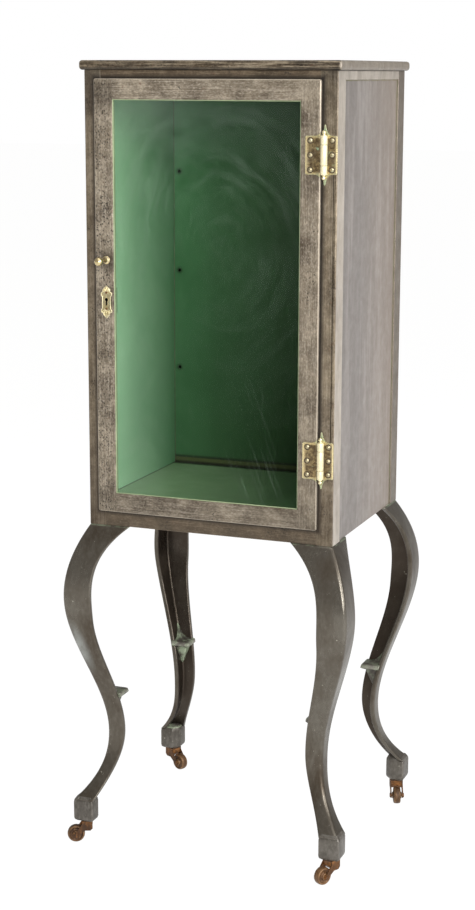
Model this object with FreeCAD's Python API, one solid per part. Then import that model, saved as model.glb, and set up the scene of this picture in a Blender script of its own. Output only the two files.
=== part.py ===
import FreeCAD, Part
import math
import os

# Glazed steel instrument cabinet on four cast cabriole legs with swivel casters.
# Millimetres, +Z up, front towards -Y, origin on the floor under the middle of the cabinet.

Vec = FreeCAD.Vector
UP = Vec(0, 0, 1)
BACK = Vec(0, 1, 0)
LEFT_RIGHT = {"left": -1, "right": 1}
FRONT_REAR = {"front": -1, "rear": 1}

# General fits
cut_overrun = 5.0
running_clear = 0.3
seat_clear = 0.05
screw_clear = 0.1

# Body
body_width = 450.0
body_depth = 380.0
body_height = 784.0
leg_height = 552.0
top_thickness = 16.0
top_overhang = 7.5
top_edge_radius = 5.5
top_corner_radius = 6.0
post_front = 30.0
post_side = 38.0
post_wall = 3.0
post_corner_radius = 2.5
rail_recess = 1.0
rail_wall = 3.0
rail_return = 20.0
return_wall = 2.0
top_rail_height = 30.0
side_rail_height = 15.0
panel_sheet = 1.5
panel_lap = 13.0
base_sheet = 2.0
floor_above_base = 39.0
floor_sheet = 1.5
floor_rear_gap = 6.0
jamb_depth = 14.0
jamb_wall = 2.0
shelf_hole_radius = 3.0
shelf_hole_inset = 14.5
shelf_hole_levels = 3

# Door
door_margin_left = 20.0
door_margin_right = 27.5
door_margin_top = 14.0
door_margin_bottom = 26.5
door_stile = 34.0
door_face = 6.0
door_back_gap = 0.5
door_corner_radius = 3.0
door_swing_clear = 2.0
glass_rebate = 8.0
glass_lip = 2.5
glass_sheet = 3.0
glass_edge_clear = 1.0
bead_depth = 7.0

# Lock, escutcheon and knob
lock_height = 44.0
lock_width = 14.5
lock_depth = 8.5
lock_side_inset = 1.0
lock_from_glass = 13.5
lock_below_door_middle = 3.0
bolt_height = 14.0
bolt_thick = 4.0
bolt_length = 12.5
bolt_travel = 9.0
bolt_behind_jamb = 1.2
plate_height = 57.0
plate_width = 21.0
plate_thick = 1.6
key_hole_radius = 3.0
key_slot_width = 2.8
key_slot_length = 7.0
key_above_plate_middle = 4.0
pin_radius = 1.2
pin_head_radius = 1.8
pin_head = 0.6
pin_length = 5.0
pin_offset_upper = 16.0
pin_offset_lower = 11.5
knob_above_lock = 71.5
knob_reach = 30.0
knob_ball_radius = 7.2
knob_foot_radius = 3.6
knob_waist_radius = 2.4
knob_waist_reach = 14.0
knob_collar_radius = 3.4
spindle_radius = 3.0
rose_radius = 7.0
rose_crown_radius = 4.6
rose_rim = 1.2
rose_height = 3.0
cam_gap = 0.5
cam_thick = 3.0
cam_length = 20.0
cam_half_width = 5.0
nut_radius = 5.0
nut_thick = 3.0

# Hinges
hinge_from_door_end = 120.0
knuckle_radius = 5.75
knuckle_gap = 0.4
knuckle_end_gap = 0.4
hinge_height = 62.0
middle_knuckle = 33.0
hinge_pin_radius = 2.5
finial_radius = 3.4
finial_neck = 2.0
leaf_thick = 1.8
door_leaf_width = 31.0
post_leaf_inset = 0.5
steeple_height = 18.0
steeple_base_left = 4.8
steeple_base_right = 13.0
steeple_flank_share = 0.3
steeple_right_share = 0.4
steeple_left_share = 0.55
shoulder_height = 5.0
shoulder_run = 12.0
shoulder_hollow_share = 0.35
shoulder_rise_share = 0.43
screw_head_radius = 3.7
screw_head_height = 2.2
screw_slot_width = 0.9
screw_slot_depth = 0.9
screw_shank_radius = 1.75
screw_shank = 7.0
screw_edge_inset = 8.5
screw_row_inset = 7.5

# Legs: lengths outwards are measured from the body's corner, drops from the body's underside
leg_wall = 9.0
knee_out = 38.0
knee_drop = 128.0
ankle_in = 20.0
ankle_drop = 391.0
foot_out = 28.0
foot_size = 38.0
foot_height = 40.0
foot_inner_cut = 12.0
foot_chamfer = 4.0
leg_top_width = 76.0
edge_knee_in = 16.0
edge_knee_drop = 166.0
edge_ankle_in = 52.0
edge_ankle_drop = 384.0
knee_flare_share = 2.0
foot_flare_share = 2.4
edge_knee_flare_share = 3.6
edge_foot_flare_share = 1.5
leg_sections = 24
ledge_drop = 313.0
ledge_thick = 8.0
ledge_reach = 48.0
ledge_corner_radius = 7.0
gusset_height = 40.0
gusset_top_share = 0.7
gusset_tip = 6.0
spike_height = 32.0
spike_foot_share = 0.5
flange_thick = 6.0
flange_reach = 58.0
flange_cut = 26.0
leg_bolt_radius = 3.0
leg_bolt_head_radius = 5.4
leg_bolt_head = 4.0
leg_bolt_spare = 1.5
leg_nut_height = 5.0
leg_bolt_near = 22.0
leg_bolt_far = 46.0

# Casters
wheel_radius = 15.875
wheel_tread_width = 13.0
wheel_crown_width = 7.0
wheel_crown_drop = 1.6
wheel_hub_width = 18.0
wheel_hub_radius = 6.5
wheel_dish = 2.0
wheel_rim = 4.0
caster_height = 44.0
caster_trail = 21.0
yoke_inside = 20.0
yoke_plate = 2.2
yoke_top_plate = 2.6
yoke_front = 9.0
yoke_rear = 10.0
yoke_lip_drop = 18.0
yoke_lip_round = 4.0
yoke_boss_radius = 5.5
yoke_apron_drop = 6.0
yoke_top_gap = 0.2
axle_radius = 2.5
axle_head_radius = 4.0
axle_head = 1.4
stem_radius = 3.5
stem_length = 26.0
socket_wall = 2.0
socket_flange_radius = 9.0
socket_flange = 1.5
socket_depth = 28.0
caster_headings = {
    ("front", "left"): 205.0,
    ("front", "right"): 241.0,
    ("rear", "left"): 335.0,
    ("rear", "right"): 291.0,
}

# Places worked out from the sizes above
body_bottom = caster_height + leg_height
body_top = body_bottom + body_height
half_width = body_width / 2
half_depth = body_depth / 2
front_face = -half_depth
floor_top = body_bottom + floor_above_base
floor_underside = floor_top - floor_sheet
opening_half = half_width - post_front
opening_top = body_top - top_rail_height
panel_x_outer = half_width - post_wall
panel_x_inner = panel_x_outer - panel_sheet
back_y_outer = half_depth - post_wall
back_y_inner = back_y_outer - panel_sheet

door_left = -half_width + door_margin_left
door_right = half_width - door_margin_right
door_bottom = body_bottom + door_margin_bottom
door_top = body_top - door_margin_top
door_plate_back = front_face - door_back_gap
door_front = door_plate_back - door_face
door_box_back = front_face + jamb_depth - door_back_gap
sight_left = door_left + door_stile
sight_right = door_right - door_stile
sight_bottom = door_bottom + door_stile
sight_top = door_top - door_stile
glass_front = door_front + glass_lip
glass_back = glass_front + glass_sheet
box_left = -opening_half + door_swing_clear
box_right = opening_half - door_swing_clear
box_bottom = floor_top + door_swing_clear
box_top = opening_top - door_swing_clear

lock_x = sight_left - lock_from_glass
lock_z = (door_bottom + door_top) / 2 - lock_below_door_middle
knob_z = lock_z + knob_above_lock
bolt_front = front_face + jamb_depth + bolt_behind_jamb
cam_front = front_face + jamb_depth + cam_gap
lock_left = box_left + lock_side_inset
lock_right = lock_left + lock_width

hinge_x = door_right + knuckle_radius + running_clear
hinge_y = front_face - knuckle_radius - knuckle_gap
hinge_levels = {"upper": door_top - hinge_from_door_end, "lower": door_bottom + hinge_from_door_end}

foot_top = caster_height + foot_height
caster_offset = foot_out - foot_size / 2
axle_z = wheel_radius
yoke_top = caster_height - socket_flange - yoke_top_gap


def block(xs, ys, zs):
    """Box between two places on each axis, given in any order."""
    x0, x1 = sorted(xs)
    y0, y1 = sorted(ys)
    z0, z1 = sorted(zs)
    return Part.makeBox(x1 - x0, y1 - y0, z1 - z0, Vec(x0, y0, z0))


def prism(points, direction):
    """Solid made by pushing a closed outline of points along a vector."""
    wire = Part.makePolygon(list(points) + [points[0]])
    return Part.Face(wire).extrude(direction)


def rod(radius, start, end):
    """Round bar between two points."""
    along = end - start
    return Part.makeCylinder(radius, along.Length, start, along)


def joined(shapes):
    """One solid from touching shapes, without leftover seams."""
    return shapes[0].fuse(list(shapes[1:])).removeSplitter()


def upright_edges_at(shape, x, y):
    """Edges parallel to Z that stand at one place in plan."""
    found = []
    for edge in shape.Edges:
        ends = [vertex.Point for vertex in edge.Vertexes]
        level = all(abs(end.x - x) < seat_clear and abs(end.y - y) < seat_clear for end in ends)
        if level and len(ends) == 2:
            found.append(edge)
    return found


def save(name, shape):
    """Write one node; a list becomes a group of separate solids."""
    solid = Part.Compound(shape) if isinstance(shape, list) else shape
    solid.exportStep(os.path.join("parts", name + ".step"))


def shelf_hole_places():
    """Heights of the shelf-pin holes, evenly shared between floor and ceiling."""
    step = (body_top - floor_top) / (shelf_hole_levels + 1)
    return [floor_top + step * (index + 1) for index in range(shelf_hole_levels)]


def drill_shelf_holes(shape, side):
    """Cut the column of shelf-pin holes on one side of the back."""
    x = side * (half_width - shelf_hole_inset)
    for z in shelf_hole_places():
        start = Vec(x, back_y_inner - cut_overrun, z)
        end = Vec(x, back_y_outer + cut_overrun, z)
        shape = shape.cut(rod(shelf_hole_radius, start, end))
    return shape


def make_top_board():
    """Lid board with rounded plan corners and a bullnose edge all round."""
    x = half_width + top_overhang
    y = half_depth + top_overhang
    board = block((-x, x), (-y, y), (body_top, body_top + top_thickness))
    corners = [edge for sx in (-1, 1) for sy in (-1, 1) for edge in upright_edges_at(board, sx * x, sy * y)]
    board = board.makeFillet(top_corner_radius, corners)
    rims = []
    for face in board.Faces:
        if abs(face.normalAt(0, 0).z) > math.cos(math.pi / 4):
            rims.extend(face.OuterWire.Edges)
    return board.makeFillet(top_edge_radius, rims)


def make_post(side, end):
    """Corner angle of folded plate, rounded on its outer edge."""
    x = side * half_width
    y = end * half_depth
    zs = (body_bottom, body_top)
    face = block((x, x - side * post_front), (y, y - end * post_wall), zs)
    flank = block((x, x - side * post_wall), (y, y - end * post_side), zs)
    post = joined([face, flank])
    post = post.makeFillet(post_corner_radius, upright_edges_at(post, x, y))
    if side > 0 and end < 0:
        for level in hinge_levels.values():
            for x, z in post_leaf_screws(level):
                post = post.cut(screw_hole(x, front_face, z))
    return post


def make_front_rails():
    """Head and sill of the doorway, each with a flange turned into the cabinet."""
    xs = (-opening_half, opening_half)
    face_ys = (front_face + rail_recess, front_face + rail_recess + rail_wall)
    head = block(xs, face_ys, (opening_top, body_top))
    head_ys = (face_ys[0], front_face + jamb_depth)
    head_return = block(xs, head_ys, (opening_top, opening_top + return_wall))
    sill = block(xs, face_ys, (body_bottom, floor_underside))
    sill_ys = (face_ys[0], face_ys[0] + rail_return)
    sill_return = block(xs, sill_ys, (floor_underside - return_wall, floor_underside))
    save("front_top_rail", joined([head, head_return]))
    save("front_bottom_rail", joined([sill, sill_return]))


def make_rear_rail():
    """Angle along the back that carries the rear edge of the floor."""
    xs = (-panel_x_inner, panel_x_inner)
    zs = (body_bottom + base_sheet, floor_underside)
    web = block(xs, (back_y_inner - rail_wall, back_y_inner), zs)
    ledge_zs = (floor_underside - return_wall, floor_underside)
    ledge = block(xs, (back_y_inner - rail_return, back_y_inner), ledge_zs)
    save("rear_bottom_rail", joined([web, ledge]))


def make_sides():
    """Recessed side sheets behind the posts, with a rail under the lid board."""
    for name, side in LEFT_RIGHT.items():
        y = half_depth - post_side
        sheet_xs = (side * panel_x_inner, side * panel_x_outer)
        panel = block(sheet_xs, (-y - panel_lap, y + panel_lap), (body_bottom, body_top))
        save(name + "_side_panel", panel)
        rail_xs = (side * panel_x_outer, side * half_width)
        rail = block(rail_xs, (-y, y), (body_top - side_rail_height, body_top))
        save(name + "_side_top_rail", rail)
        jamb_xs = (side * opening_half, side * (opening_half + jamb_wall))
        jamb_ys = (front_face + post_wall, front_face + jamb_depth)
        save(name + "_jamb", block(jamb_xs, jamb_ys, (floor_top, opening_top)))


def make_back_and_floors():
    """Back sheet with its shelf-pin holes, the base sheet and the cabinet floor."""
    back = block((-panel_x_inner, panel_x_inner), (back_y_inner, back_y_outer), (body_bottom, body_top))
    for side in LEFT_RIGHT.values():
        back = drill_shelf_holes(back, side)
    save("back_panel", back)
    xs = (-panel_x_inner, panel_x_inner)
    inside_front = front_face + rail_recess + rail_wall
    base = block(xs, (inside_front, back_y_inner), (body_bottom, body_bottom + base_sheet))
    for _, side, end in corners_of_body():
        for x, y in leg_bolt_places(side, end):
            bottom = Vec(x, y, body_bottom - cut_overrun)
            base = base.cut(rod(leg_bolt_radius + screw_clear, bottom, bottom + UP * (2 * cut_overrun)))
    save("base_sheet", base)
    floor = block(xs, (inside_front, back_y_inner - floor_rear_gap), (floor_underside, floor_top))
    save("cabinet_floor", floor)


def screw_hole(x, y_mid, z):
    """Cutter for one hinge screw, right through whatever it is cut from."""
    start = Vec(x, y_mid - screw_shank - cut_overrun, z)
    end = Vec(x, y_mid + screw_shank + cut_overrun, z)
    return rod(screw_shank_radius + screw_clear, start, end)


def hinge_screw_rows():
    """Offsets of the three screws of a leaf from the hinge's middle height."""
    row = hinge_height / 2 - screw_row_inset
    return (-row, 0, row)


def door_leaf_screws(level):
    """Places of the door leaf's screws as x and z."""
    x = hinge_x - door_leaf_width + screw_edge_inset
    return [(x, level + row) for row in hinge_screw_rows()]


def post_leaf_screws(level):
    """Places of the post leaf's screws as x and z."""
    x = half_width - post_leaf_inset - screw_edge_inset
    return [(x, level + row) for row in hinge_screw_rows()]


def make_door_frame():
    """Two stiles and two rails: a thin overlapping face with a box that enters the doorway."""
    face_ys = (door_front, door_plate_back)
    box_ys = (door_plate_back, door_box_back)
    rebate_ys = (glass_front, door_plate_back + cut_overrun)
    rebate_zs = (sight_bottom - glass_rebate, sight_top + glass_rebate)
    stiles = {
        "left": (door_left, sight_left, box_left, sight_left - glass_rebate),
        "right": (door_right, sight_right, box_right, sight_right + glass_rebate),
    }
    for name, (outer, inner, box_outer, box_inner) in stiles.items():
        face = block((outer, inner), face_ys, (door_bottom, door_top))
        corner_edges = [edge for edge in face.Edges if runs_along_y_at(edge, outer)]
        face = face.makeFillet(door_corner_radius, corner_edges)
        rebate = block((inner, box_inner), rebate_ys, rebate_zs)
        box = block((box_outer, box_inner), box_ys, (box_bottom, box_top))
        stile = joined([face.cut(rebate), box])
        if name == "left":
            stile = stile.cut(spindle_hole()).cut(key_passage())
            for z in plate_pin_levels():
                stile = stile.cut(plate_pin_hole(z))
        else:
            for level in hinge_levels.values():
                for x, z in door_leaf_screws(level):
                    stile = stile.cut(screw_hole(x, door_front, z))
        save("door_" + name + "_stile", stile)
    rails = {
        "top": (door_top, sight_top, box_top, sight_top + glass_rebate),
        "bottom": (door_bottom, sight_bottom, box_bottom, sight_bottom - glass_rebate),
    }
    for name, (outer, inner, box_outer, box_inner) in rails.items():
        face = block((sight_left, sight_right), face_ys, (outer, inner))
        rebate = block((sight_left, sight_right), rebate_ys, (inner, box_inner))
        box_xs = (sight_left - glass_rebate, sight_right + glass_rebate)
        box = block(box_xs, box_ys, (box_outer, box_inner))
        save("door_" + name + "_rail", joined([face.cut(rebate), box]))


def runs_along_y_at(edge, x):
    """True for an edge that runs front to back at one x."""
    first, last = [vertex.Point for vertex in edge.Vertexes]
    spans = abs(first.y - last.y) > seat_clear
    return spans and abs(first.x - x) < seat_clear and abs(last.x - x) < seat_clear


def make_glazing():
    """Glass pane in the rebate and the four beads that hold it from behind."""
    reach = glass_rebate - glass_edge_clear
    xs = (sight_left - reach, sight_right + reach)
    zs = (sight_bottom - reach, sight_top + reach)
    save("door_glass", block(xs, (glass_front, glass_back), zs))
    bead_ys = (glass_back, glass_back + bead_depth)
    outer_zs = (sight_bottom - glass_rebate, sight_top + glass_rebate)
    lip = glass_edge_clear
    beads = [
        block((sight_left - glass_rebate, sight_left - lip), bead_ys, outer_zs),
        block((sight_right + glass_rebate, sight_right + lip), bead_ys, outer_zs),
    ]
    for outer, inner in ((outer_zs[0], sight_bottom - lip), (outer_zs[1], sight_top + lip)):
        beads.append(block((sight_left - lip, sight_right + lip), bead_ys, (outer, inner)))
    save("glazing_beads", beads)


def spindle_hole():
    """Cutter for the knob's spindle through the left stile."""
    start = Vec(lock_x, door_front - cut_overrun, knob_z)
    end = Vec(lock_x, door_box_back + cut_overrun, knob_z)
    return rod(spindle_radius + running_clear, start, end)


def key_passage():
    """Cutter for the key: a round eye with a slot below it."""
    eye_z = lock_z + key_above_plate_middle
    start = Vec(lock_x, door_front - plate_thick - cut_overrun, eye_z)
    end = Vec(lock_x, bolt_front - running_clear, eye_z)
    eye = rod(key_hole_radius, start, end)
    half_slot = key_slot_width / 2
    slot_zs = (eye_z, eye_z - key_hole_radius - key_slot_length)
    slot = block((lock_x - half_slot, lock_x + half_slot), (start.y, end.y), slot_zs)
    return eye.fuse(slot)


def plate_pin_levels():
    """Heights of the two pins that hold the escutcheon."""
    return (lock_z + pin_offset_upper, lock_z - pin_offset_lower)


def plate_pin_hole(z):
    """Cutter for one escutcheon pin."""
    start = Vec(lock_x, door_front - plate_thick - cut_overrun, z)
    end = Vec(lock_x, door_front + pin_length, z)
    return rod(pin_radius + seat_clear, start, end)


def escutcheon_outline():
    """Half outline of the key plate from top to bottom, as shares of its half width and half height."""
    half_shares = (
        (0.00, 1.00),
        (0.38, 0.87),
        (0.72, 0.72),
        (0.60, 0.66),
        (1.00, 0.56),
        (1.00, 0.42),
        (0.80, 0.33),
        (0.80, -0.40),
        (1.00, -0.52),
        (0.95, -0.63),
        (0.58, -0.70),
        (0.52, -0.80),
        (0.00, -1.00),
    )
    right = [(share_x * plate_width / 2, share_z * plate_height / 2) for share_x, share_z in half_shares]
    left = [(-x, z) for x, z in reversed(right[1:-1])]
    y = door_front
    return [Vec(lock_x + x, y, lock_z + z) for x, z in right + left]


def make_lock():
    """Key plate with its pins, and the lock case with its sliding bolt."""
    plate = prism(escutcheon_outline(), -BACK * plate_thick).cut(key_passage())
    pins = []
    for z in plate_pin_levels():
        plate = plate.cut(plate_pin_hole(z))
        surface = Vec(lock_x, door_front - plate_thick, z)
        shank = rod(pin_radius, surface, Vec(lock_x, door_front + pin_length, z))
        head = rod(pin_head_radius, surface - BACK * pin_head, surface)
        pins.append(joined([shank, head]))
    save("key_plate", plate)
    save("key_plate_pins", pins)
    zs = (lock_z - lock_height / 2, lock_z + lock_height / 2)
    case = block((lock_left, lock_right), (door_box_back, door_box_back + lock_depth), zs)
    bolt_ys = (bolt_front, bolt_front + bolt_thick)
    bolt_zs = (lock_z - bolt_height / 2, lock_z + bolt_height / 2)
    bolt = block((lock_left, lock_left + bolt_length), bolt_ys, bolt_zs)
    channel = block(
        (lock_left - cut_overrun, lock_left + bolt_length + running_clear),
        (bolt_ys[0] - running_clear, bolt_ys[1] + running_clear),
        (bolt_zs[0] - running_clear, bolt_zs[1] + running_clear),
    )
    save("lock_case", case.cut(channel).cut(key_passage()))
    save("lock_bolt", bolt)


def make_knob():
    """Ball knob on a spindle, its rose on the door, and the latch tongue with its nut."""
    face = Vec(lock_x, door_front, knob_z)
    foot = face - BACK * (rose_height + running_clear)
    waist = face - BACK * knob_waist_reach
    ball = face - BACK * knob_reach
    cam_back = Vec(lock_x, cam_front + cam_thick, knob_z)
    tail = cam_back + BACK * nut_thick
    neck_lower = Part.makeCone(knob_foot_radius, knob_waist_radius, (waist - foot).Length, foot, -BACK)
    neck_upper = Part.makeCone(knob_waist_radius, knob_collar_radius, (ball - waist).Length, waist, -BACK)
    knob = joined([
        Part.makeSphere(knob_ball_radius, ball),
        neck_lower,
        neck_upper,
        rod(spindle_radius, foot, tail),
    ])
    save("door_knob", knob)
    rim = rod(rose_radius, face, face - BACK * rose_rim)
    dome_height = rose_height - rose_rim
    dome = Part.makeCone(rose_radius, rose_crown_radius, dome_height, face - BACK * rose_rim, -BACK)
    bore = rod(spindle_radius + running_clear, face + BACK * cut_overrun, foot - BACK * cut_overrun)
    save("knob_rose", joined([rim, dome]).cut(bore))
    bore_fit = rod(spindle_radius + seat_clear, face, tail + BACK * cut_overrun)
    cam_start = cam_back - BACK * cam_thick
    tongue_xs = (lock_x - cam_half_width, lock_x + cam_half_width)
    tongue = block(tongue_xs, (cam_start.y, cam_back.y), (knob_z, knob_z + cam_length))
    eye = rod(cam_half_width, cam_start, cam_back)
    save("latch_tongue", joined([tongue, eye]).cut(bore_fit))
    nut = prism(hexagon(Vec(lock_x, 0, knob_z), nut_radius, cam_back.y), BACK * nut_thick)
    save("latch_nut", nut.cut(bore_fit))


def hexagon(centre, radius, y):
    """Corner points of a six-sided nut facing along Y."""
    angles = [math.pi / 3 * index for index in range(6)]
    return [Vec(centre.x + radius * math.cos(a), y, centre.z + radius * math.sin(a)) for a in angles]


def steeple(y, level, up):
    """Flat spire of the post leaf beyond the barrel, with a hollow flank on each side."""
    base = level + up * hinge_height / 2
    tip = Vec(hinge_x, y, base + up * steeple_height)
    right = Vec(hinge_x + steeple_base_right, y, base)
    left = Vec(hinge_x - steeple_base_left, y, base)
    flank_z = base + up * steeple_height * steeple_flank_share
    flank_right = Vec(hinge_x + steeple_base_right * steeple_right_share, y, flank_z)
    flank_left = Vec(hinge_x - steeple_base_left * steeple_left_share, y, flank_z)
    edges = [
        Part.Arc(right, flank_right, tip).toShape(),
        Part.Arc(tip, flank_left, left).toShape(),
        Part.LineSegment(left, right).toShape(),
    ]
    return Part.Face(Part.Wire(edges)).extrude(-BACK * leaf_thick)


def shoulder(y, level, up):
    """Hollow shoulder where the door leaf rises towards the barrel."""
    base = level + up * hinge_height / 2
    inner_x = hinge_x - knuckle_radius - running_clear
    outer = Vec(inner_x - shoulder_run, y, base)
    corner = Vec(inner_x, y, base)
    top = Vec(inner_x, y, base + up * shoulder_height)
    middle_z = base + up * shoulder_height * shoulder_rise_share
    middle = Vec(inner_x - shoulder_run * shoulder_hollow_share, y, middle_z)
    edges = [
        Part.LineSegment(outer, corner).toShape(),
        Part.LineSegment(corner, top).toShape(),
        Part.Arc(top, middle, outer).toShape(),
    ]
    return Part.Face(Part.Wire(edges)).extrude(-BACK * leaf_thick)


def round_head_screw(x, y, z):
    """Slotted round-head screw whose head sits on a face at y and points to the front."""
    dome_radius = (screw_head_radius ** 2 + screw_head_height ** 2) / (2 * screw_head_height)
    seat = Vec(x, y, z)
    dome = Part.makeSphere(dome_radius, seat + BACK * (dome_radius - screw_head_height))
    head = rod(screw_head_radius, seat, seat - BACK * screw_head_height).common(dome)
    half_slot = screw_slot_width / 2
    slot_ys = (y - screw_head_height - cut_overrun, y - screw_head_height + screw_slot_depth)
    slot_xs = (x - screw_head_radius, x + screw_head_radius)
    slot = block(slot_xs, slot_ys, (z - half_slot, z + half_slot))
    shank = rod(screw_shank_radius, seat, seat + BACK * screw_shank)
    return joined([head.cut(slot), shank])


def make_hinges():
    """Two steeple hinges: a door leaf, a post leaf and a pin with ball finials each."""
    door_screws = []
    post_screws = []
    bore_reach = UP * (hinge_height / 2 + cut_overrun)
    for name, level in hinge_levels.items():
        middle = Vec(hinge_x, hinge_y, level)
        half_middle = UP * (middle_knuckle / 2)
        half_barrel = UP * (hinge_height / 2)
        half_gap = UP * knuckle_end_gap
        zs = (level - hinge_height / 2, level + hinge_height / 2)

        leaf_ys = (door_front, door_front - leaf_thick)
        clear_x = hinge_x - knuckle_radius - running_clear
        plate = block((hinge_x - door_leaf_width, clear_x), leaf_ys, zs)
        tongue_zs = (level - middle_knuckle / 2, level + middle_knuckle / 2)
        tongue = block((clear_x, hinge_x), leaf_ys, tongue_zs)
        knuckle = rod(knuckle_radius, middle - half_middle, middle + half_middle)
        bore = rod(hinge_pin_radius + running_clear, middle - bore_reach, middle + bore_reach)
        curls = [shoulder(door_front, level, up) for up in (-1, 1)]
        leaf = joined([plate, tongue, knuckle] + curls).cut(bore)
        for x, z in door_leaf_screws(level):
            leaf = leaf.cut(screw_hole(x, door_front, z))
            door_screws.append(round_head_screw(x, door_front - leaf_thick, z))
        save(name + "_hinge_door_leaf", leaf)

        leaf_ys = (front_face, front_face - leaf_thick)
        leaf_right = half_width - post_leaf_inset
        clear_x = hinge_x + knuckle_radius + running_clear
        pieces = [block((clear_x, leaf_right), leaf_ys, zs)]
        for up in (-1, 1):
            inner = middle + half_middle * up + half_gap * up
            outer = middle + half_barrel * up
            pieces.append(rod(knuckle_radius, inner, outer))
            pieces.append(block((hinge_x, clear_x), leaf_ys, (inner.z, outer.z)))
            pieces.append(steeple(front_face, level, up))
        bore = rod(hinge_pin_radius + seat_clear, middle - bore_reach, middle + bore_reach)
        leaf = joined(pieces).cut(bore)
        for x, z in post_leaf_screws(level):
            leaf = leaf.cut(screw_hole(x, front_face, z))
            post_screws.append(round_head_screw(x, front_face - leaf_thick, z))
        save(name + "_hinge_post_leaf", leaf)

        pin = [rod(hinge_pin_radius, middle - half_barrel, middle + half_barrel)]
        for up in (-1, 1):
            end = middle + half_barrel * up
            ball = end + UP * (up * (finial_neck + finial_radius))
            pin.append(rod(hinge_pin_radius, end, ball))
            pin.append(Part.makeSphere(finial_radius, ball))
        save(name + "_hinge_pin", joined(pin))
    save("hinge_door_screws", door_screws)
    save("hinge_post_screws", post_screws)


def ease(share, start_slope, end_slope):
    """Smooth step from 0 to 1 that leaves and arrives at the given slopes."""
    step = 3 * share ** 2 - 2 * share ** 3
    leave = share * (1 - share) ** 2
    arrive = share ** 3 - share ** 2
    return step + start_slope * leave + end_slope * arrive


def leg_curve(drop, top, knee, knee_at, ankle, ankle_at, foot, slopes):
    """Outward place of one edge of the leg at a drop below the body: out to the knee, in, and out again."""
    foot_at = leg_height - foot_height
    if drop <= knee_at:
        return top + (knee - top) * ease(drop / knee_at, slopes[0], 0)
    if drop <= ankle_at:
        return knee + (ankle - knee) * ease((drop - knee_at) / (ankle_at - knee_at), 0, 0)
    return ankle + (foot - ankle) * ease((drop - ankle_at) / (foot_at - ankle_at), 0, slopes[1])


def leg_outer(drop):
    """Outward place of the leg's outer corner."""
    slopes = (knee_flare_share, foot_flare_share)
    return leg_curve(drop, 0, knee_out, knee_drop, -ankle_in, ankle_drop, foot_out, slopes)


def leg_edge(drop):
    """Outward place of the free edge of each wall."""
    slopes = (edge_knee_flare_share, edge_foot_flare_share)
    foot_edge = foot_out - foot_size
    return leg_curve(drop, -leg_top_width, -edge_knee_in, edge_knee_drop, -edge_ankle_in, edge_ankle_drop,
                     foot_edge, slopes)


def corner_point(a, b, z):
    """Point a out along X and b out along Y from the rear right corner of the body."""
    return Vec(half_width + a, half_depth + b, z)


def leg_section(drop):
    """Closed angle-shaped section of the leg at one drop."""
    out = leg_outer(drop)
    edge = leg_edge(drop)
    inner = out - leg_wall
    plan = ((out, out), (out, edge), (inner, edge), (inner, inner), (edge, inner), (edge, out))
    points = [corner_point(a, b, body_bottom - drop) for a, b in plan]
    return Part.makePolygon(points + [points[0]])


def make_foot():
    """Block foot with its inner corner cut off, a chamfered sole and the socket's bore."""
    inner = foot_out - foot_size
    cut = inner + foot_inner_cut
    plan = ((foot_out, foot_out), (foot_out, inner), (cut, inner), (inner, cut), (inner, foot_out))
    foot = prism([corner_point(a, b, caster_height) for a, b in plan], UP * foot_height)
    sole = min(foot.Faces, key=lambda face: face.CenterOfMass.z)
    foot = foot.makeChamfer(foot_chamfer, sole.Edges)
    bore_start = corner_point(caster_offset, caster_offset, caster_height)
    return foot.cut(rod(stem_radius + running_clear + socket_wall + seat_clear, bore_start,
                        bore_start + UP * socket_depth))


def corner_web(levels):
    """Three-sided web in the leg's inner corner, tapering between two levels of height and reach."""
    wires = []
    for z, reach in levels:
        corner = leg_outer(body_bottom - z) - leg_wall / 2
        plan = ((corner, corner), (corner, corner - reach), (corner - reach, corner))
        points = [corner_point(a, b, z) for a, b in plan]
        wires.append(Part.makePolygon(points + [points[0]]))
    return Part.makeLoft(wires, True, True)


def make_ledge():
    """Shelf ledge in the leg's inner corner with a tapered gusset under it and a spike above it."""
    inner = leg_outer(ledge_drop) - leg_wall / 2
    z = body_bottom - ledge_drop - ledge_thick
    plan = ((inner, inner), (inner, -ledge_reach), (-ledge_reach, -ledge_reach), (-ledge_reach, inner))
    ledge = prism([corner_point(a, b, z) for a, b in plan], UP * ledge_thick)
    nose = upright_edges_at(ledge, half_width - ledge_reach, half_depth - ledge_reach)
    ledge = ledge.makeFillet(ledge_corner_radius, nose)
    depth = inner + ledge_reach
    tip = leg_wall + gusset_tip
    gusset = corner_web(((z, depth * gusset_top_share), (z - gusset_height, tip)))
    top = z + ledge_thick
    spike = corner_web(((top, depth * spike_foot_share), (top + spike_height, tip)))
    return ledge, gusset, spike


def leg_bolt_plan():
    """Places of a leg's three bolts, in from the body's corner."""
    return ((leg_bolt_near, leg_bolt_near), (leg_bolt_near, leg_bolt_far), (leg_bolt_far, leg_bolt_near))


def leg_bolt_places(side, end):
    """Places of one leg's bolts as x and y."""
    return [(side * (half_width - a), end * (half_depth - b)) for a, b in leg_bolt_plan()]


def make_flange():
    """Flat plate inside the leg's head that is bolted up to the base sheet."""
    inner = -leg_wall / 2
    reach = -flange_reach
    cut = reach + flange_cut
    plan = ((inner, inner), (inner, reach), (cut, reach), (reach, cut), (reach, inner))
    z = body_bottom - flange_thick
    flange = prism([corner_point(a, b, z) for a, b in plan], UP * flange_thick)
    for a, b in leg_bolt_plan():
        start = corner_point(-a, -b, z - cut_overrun)
        end = start + UP * (flange_thick + 2 * cut_overrun)
        flange = flange.cut(rod(leg_bolt_radius + screw_clear, start, end))
    return flange


def corners_of_body():
    """The four corners as a name with its two signs."""
    return [((end, side), LEFT_RIGHT[side], FRONT_REAR[end]) for end in FRONT_REAR for side in LEFT_RIGHT]


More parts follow.
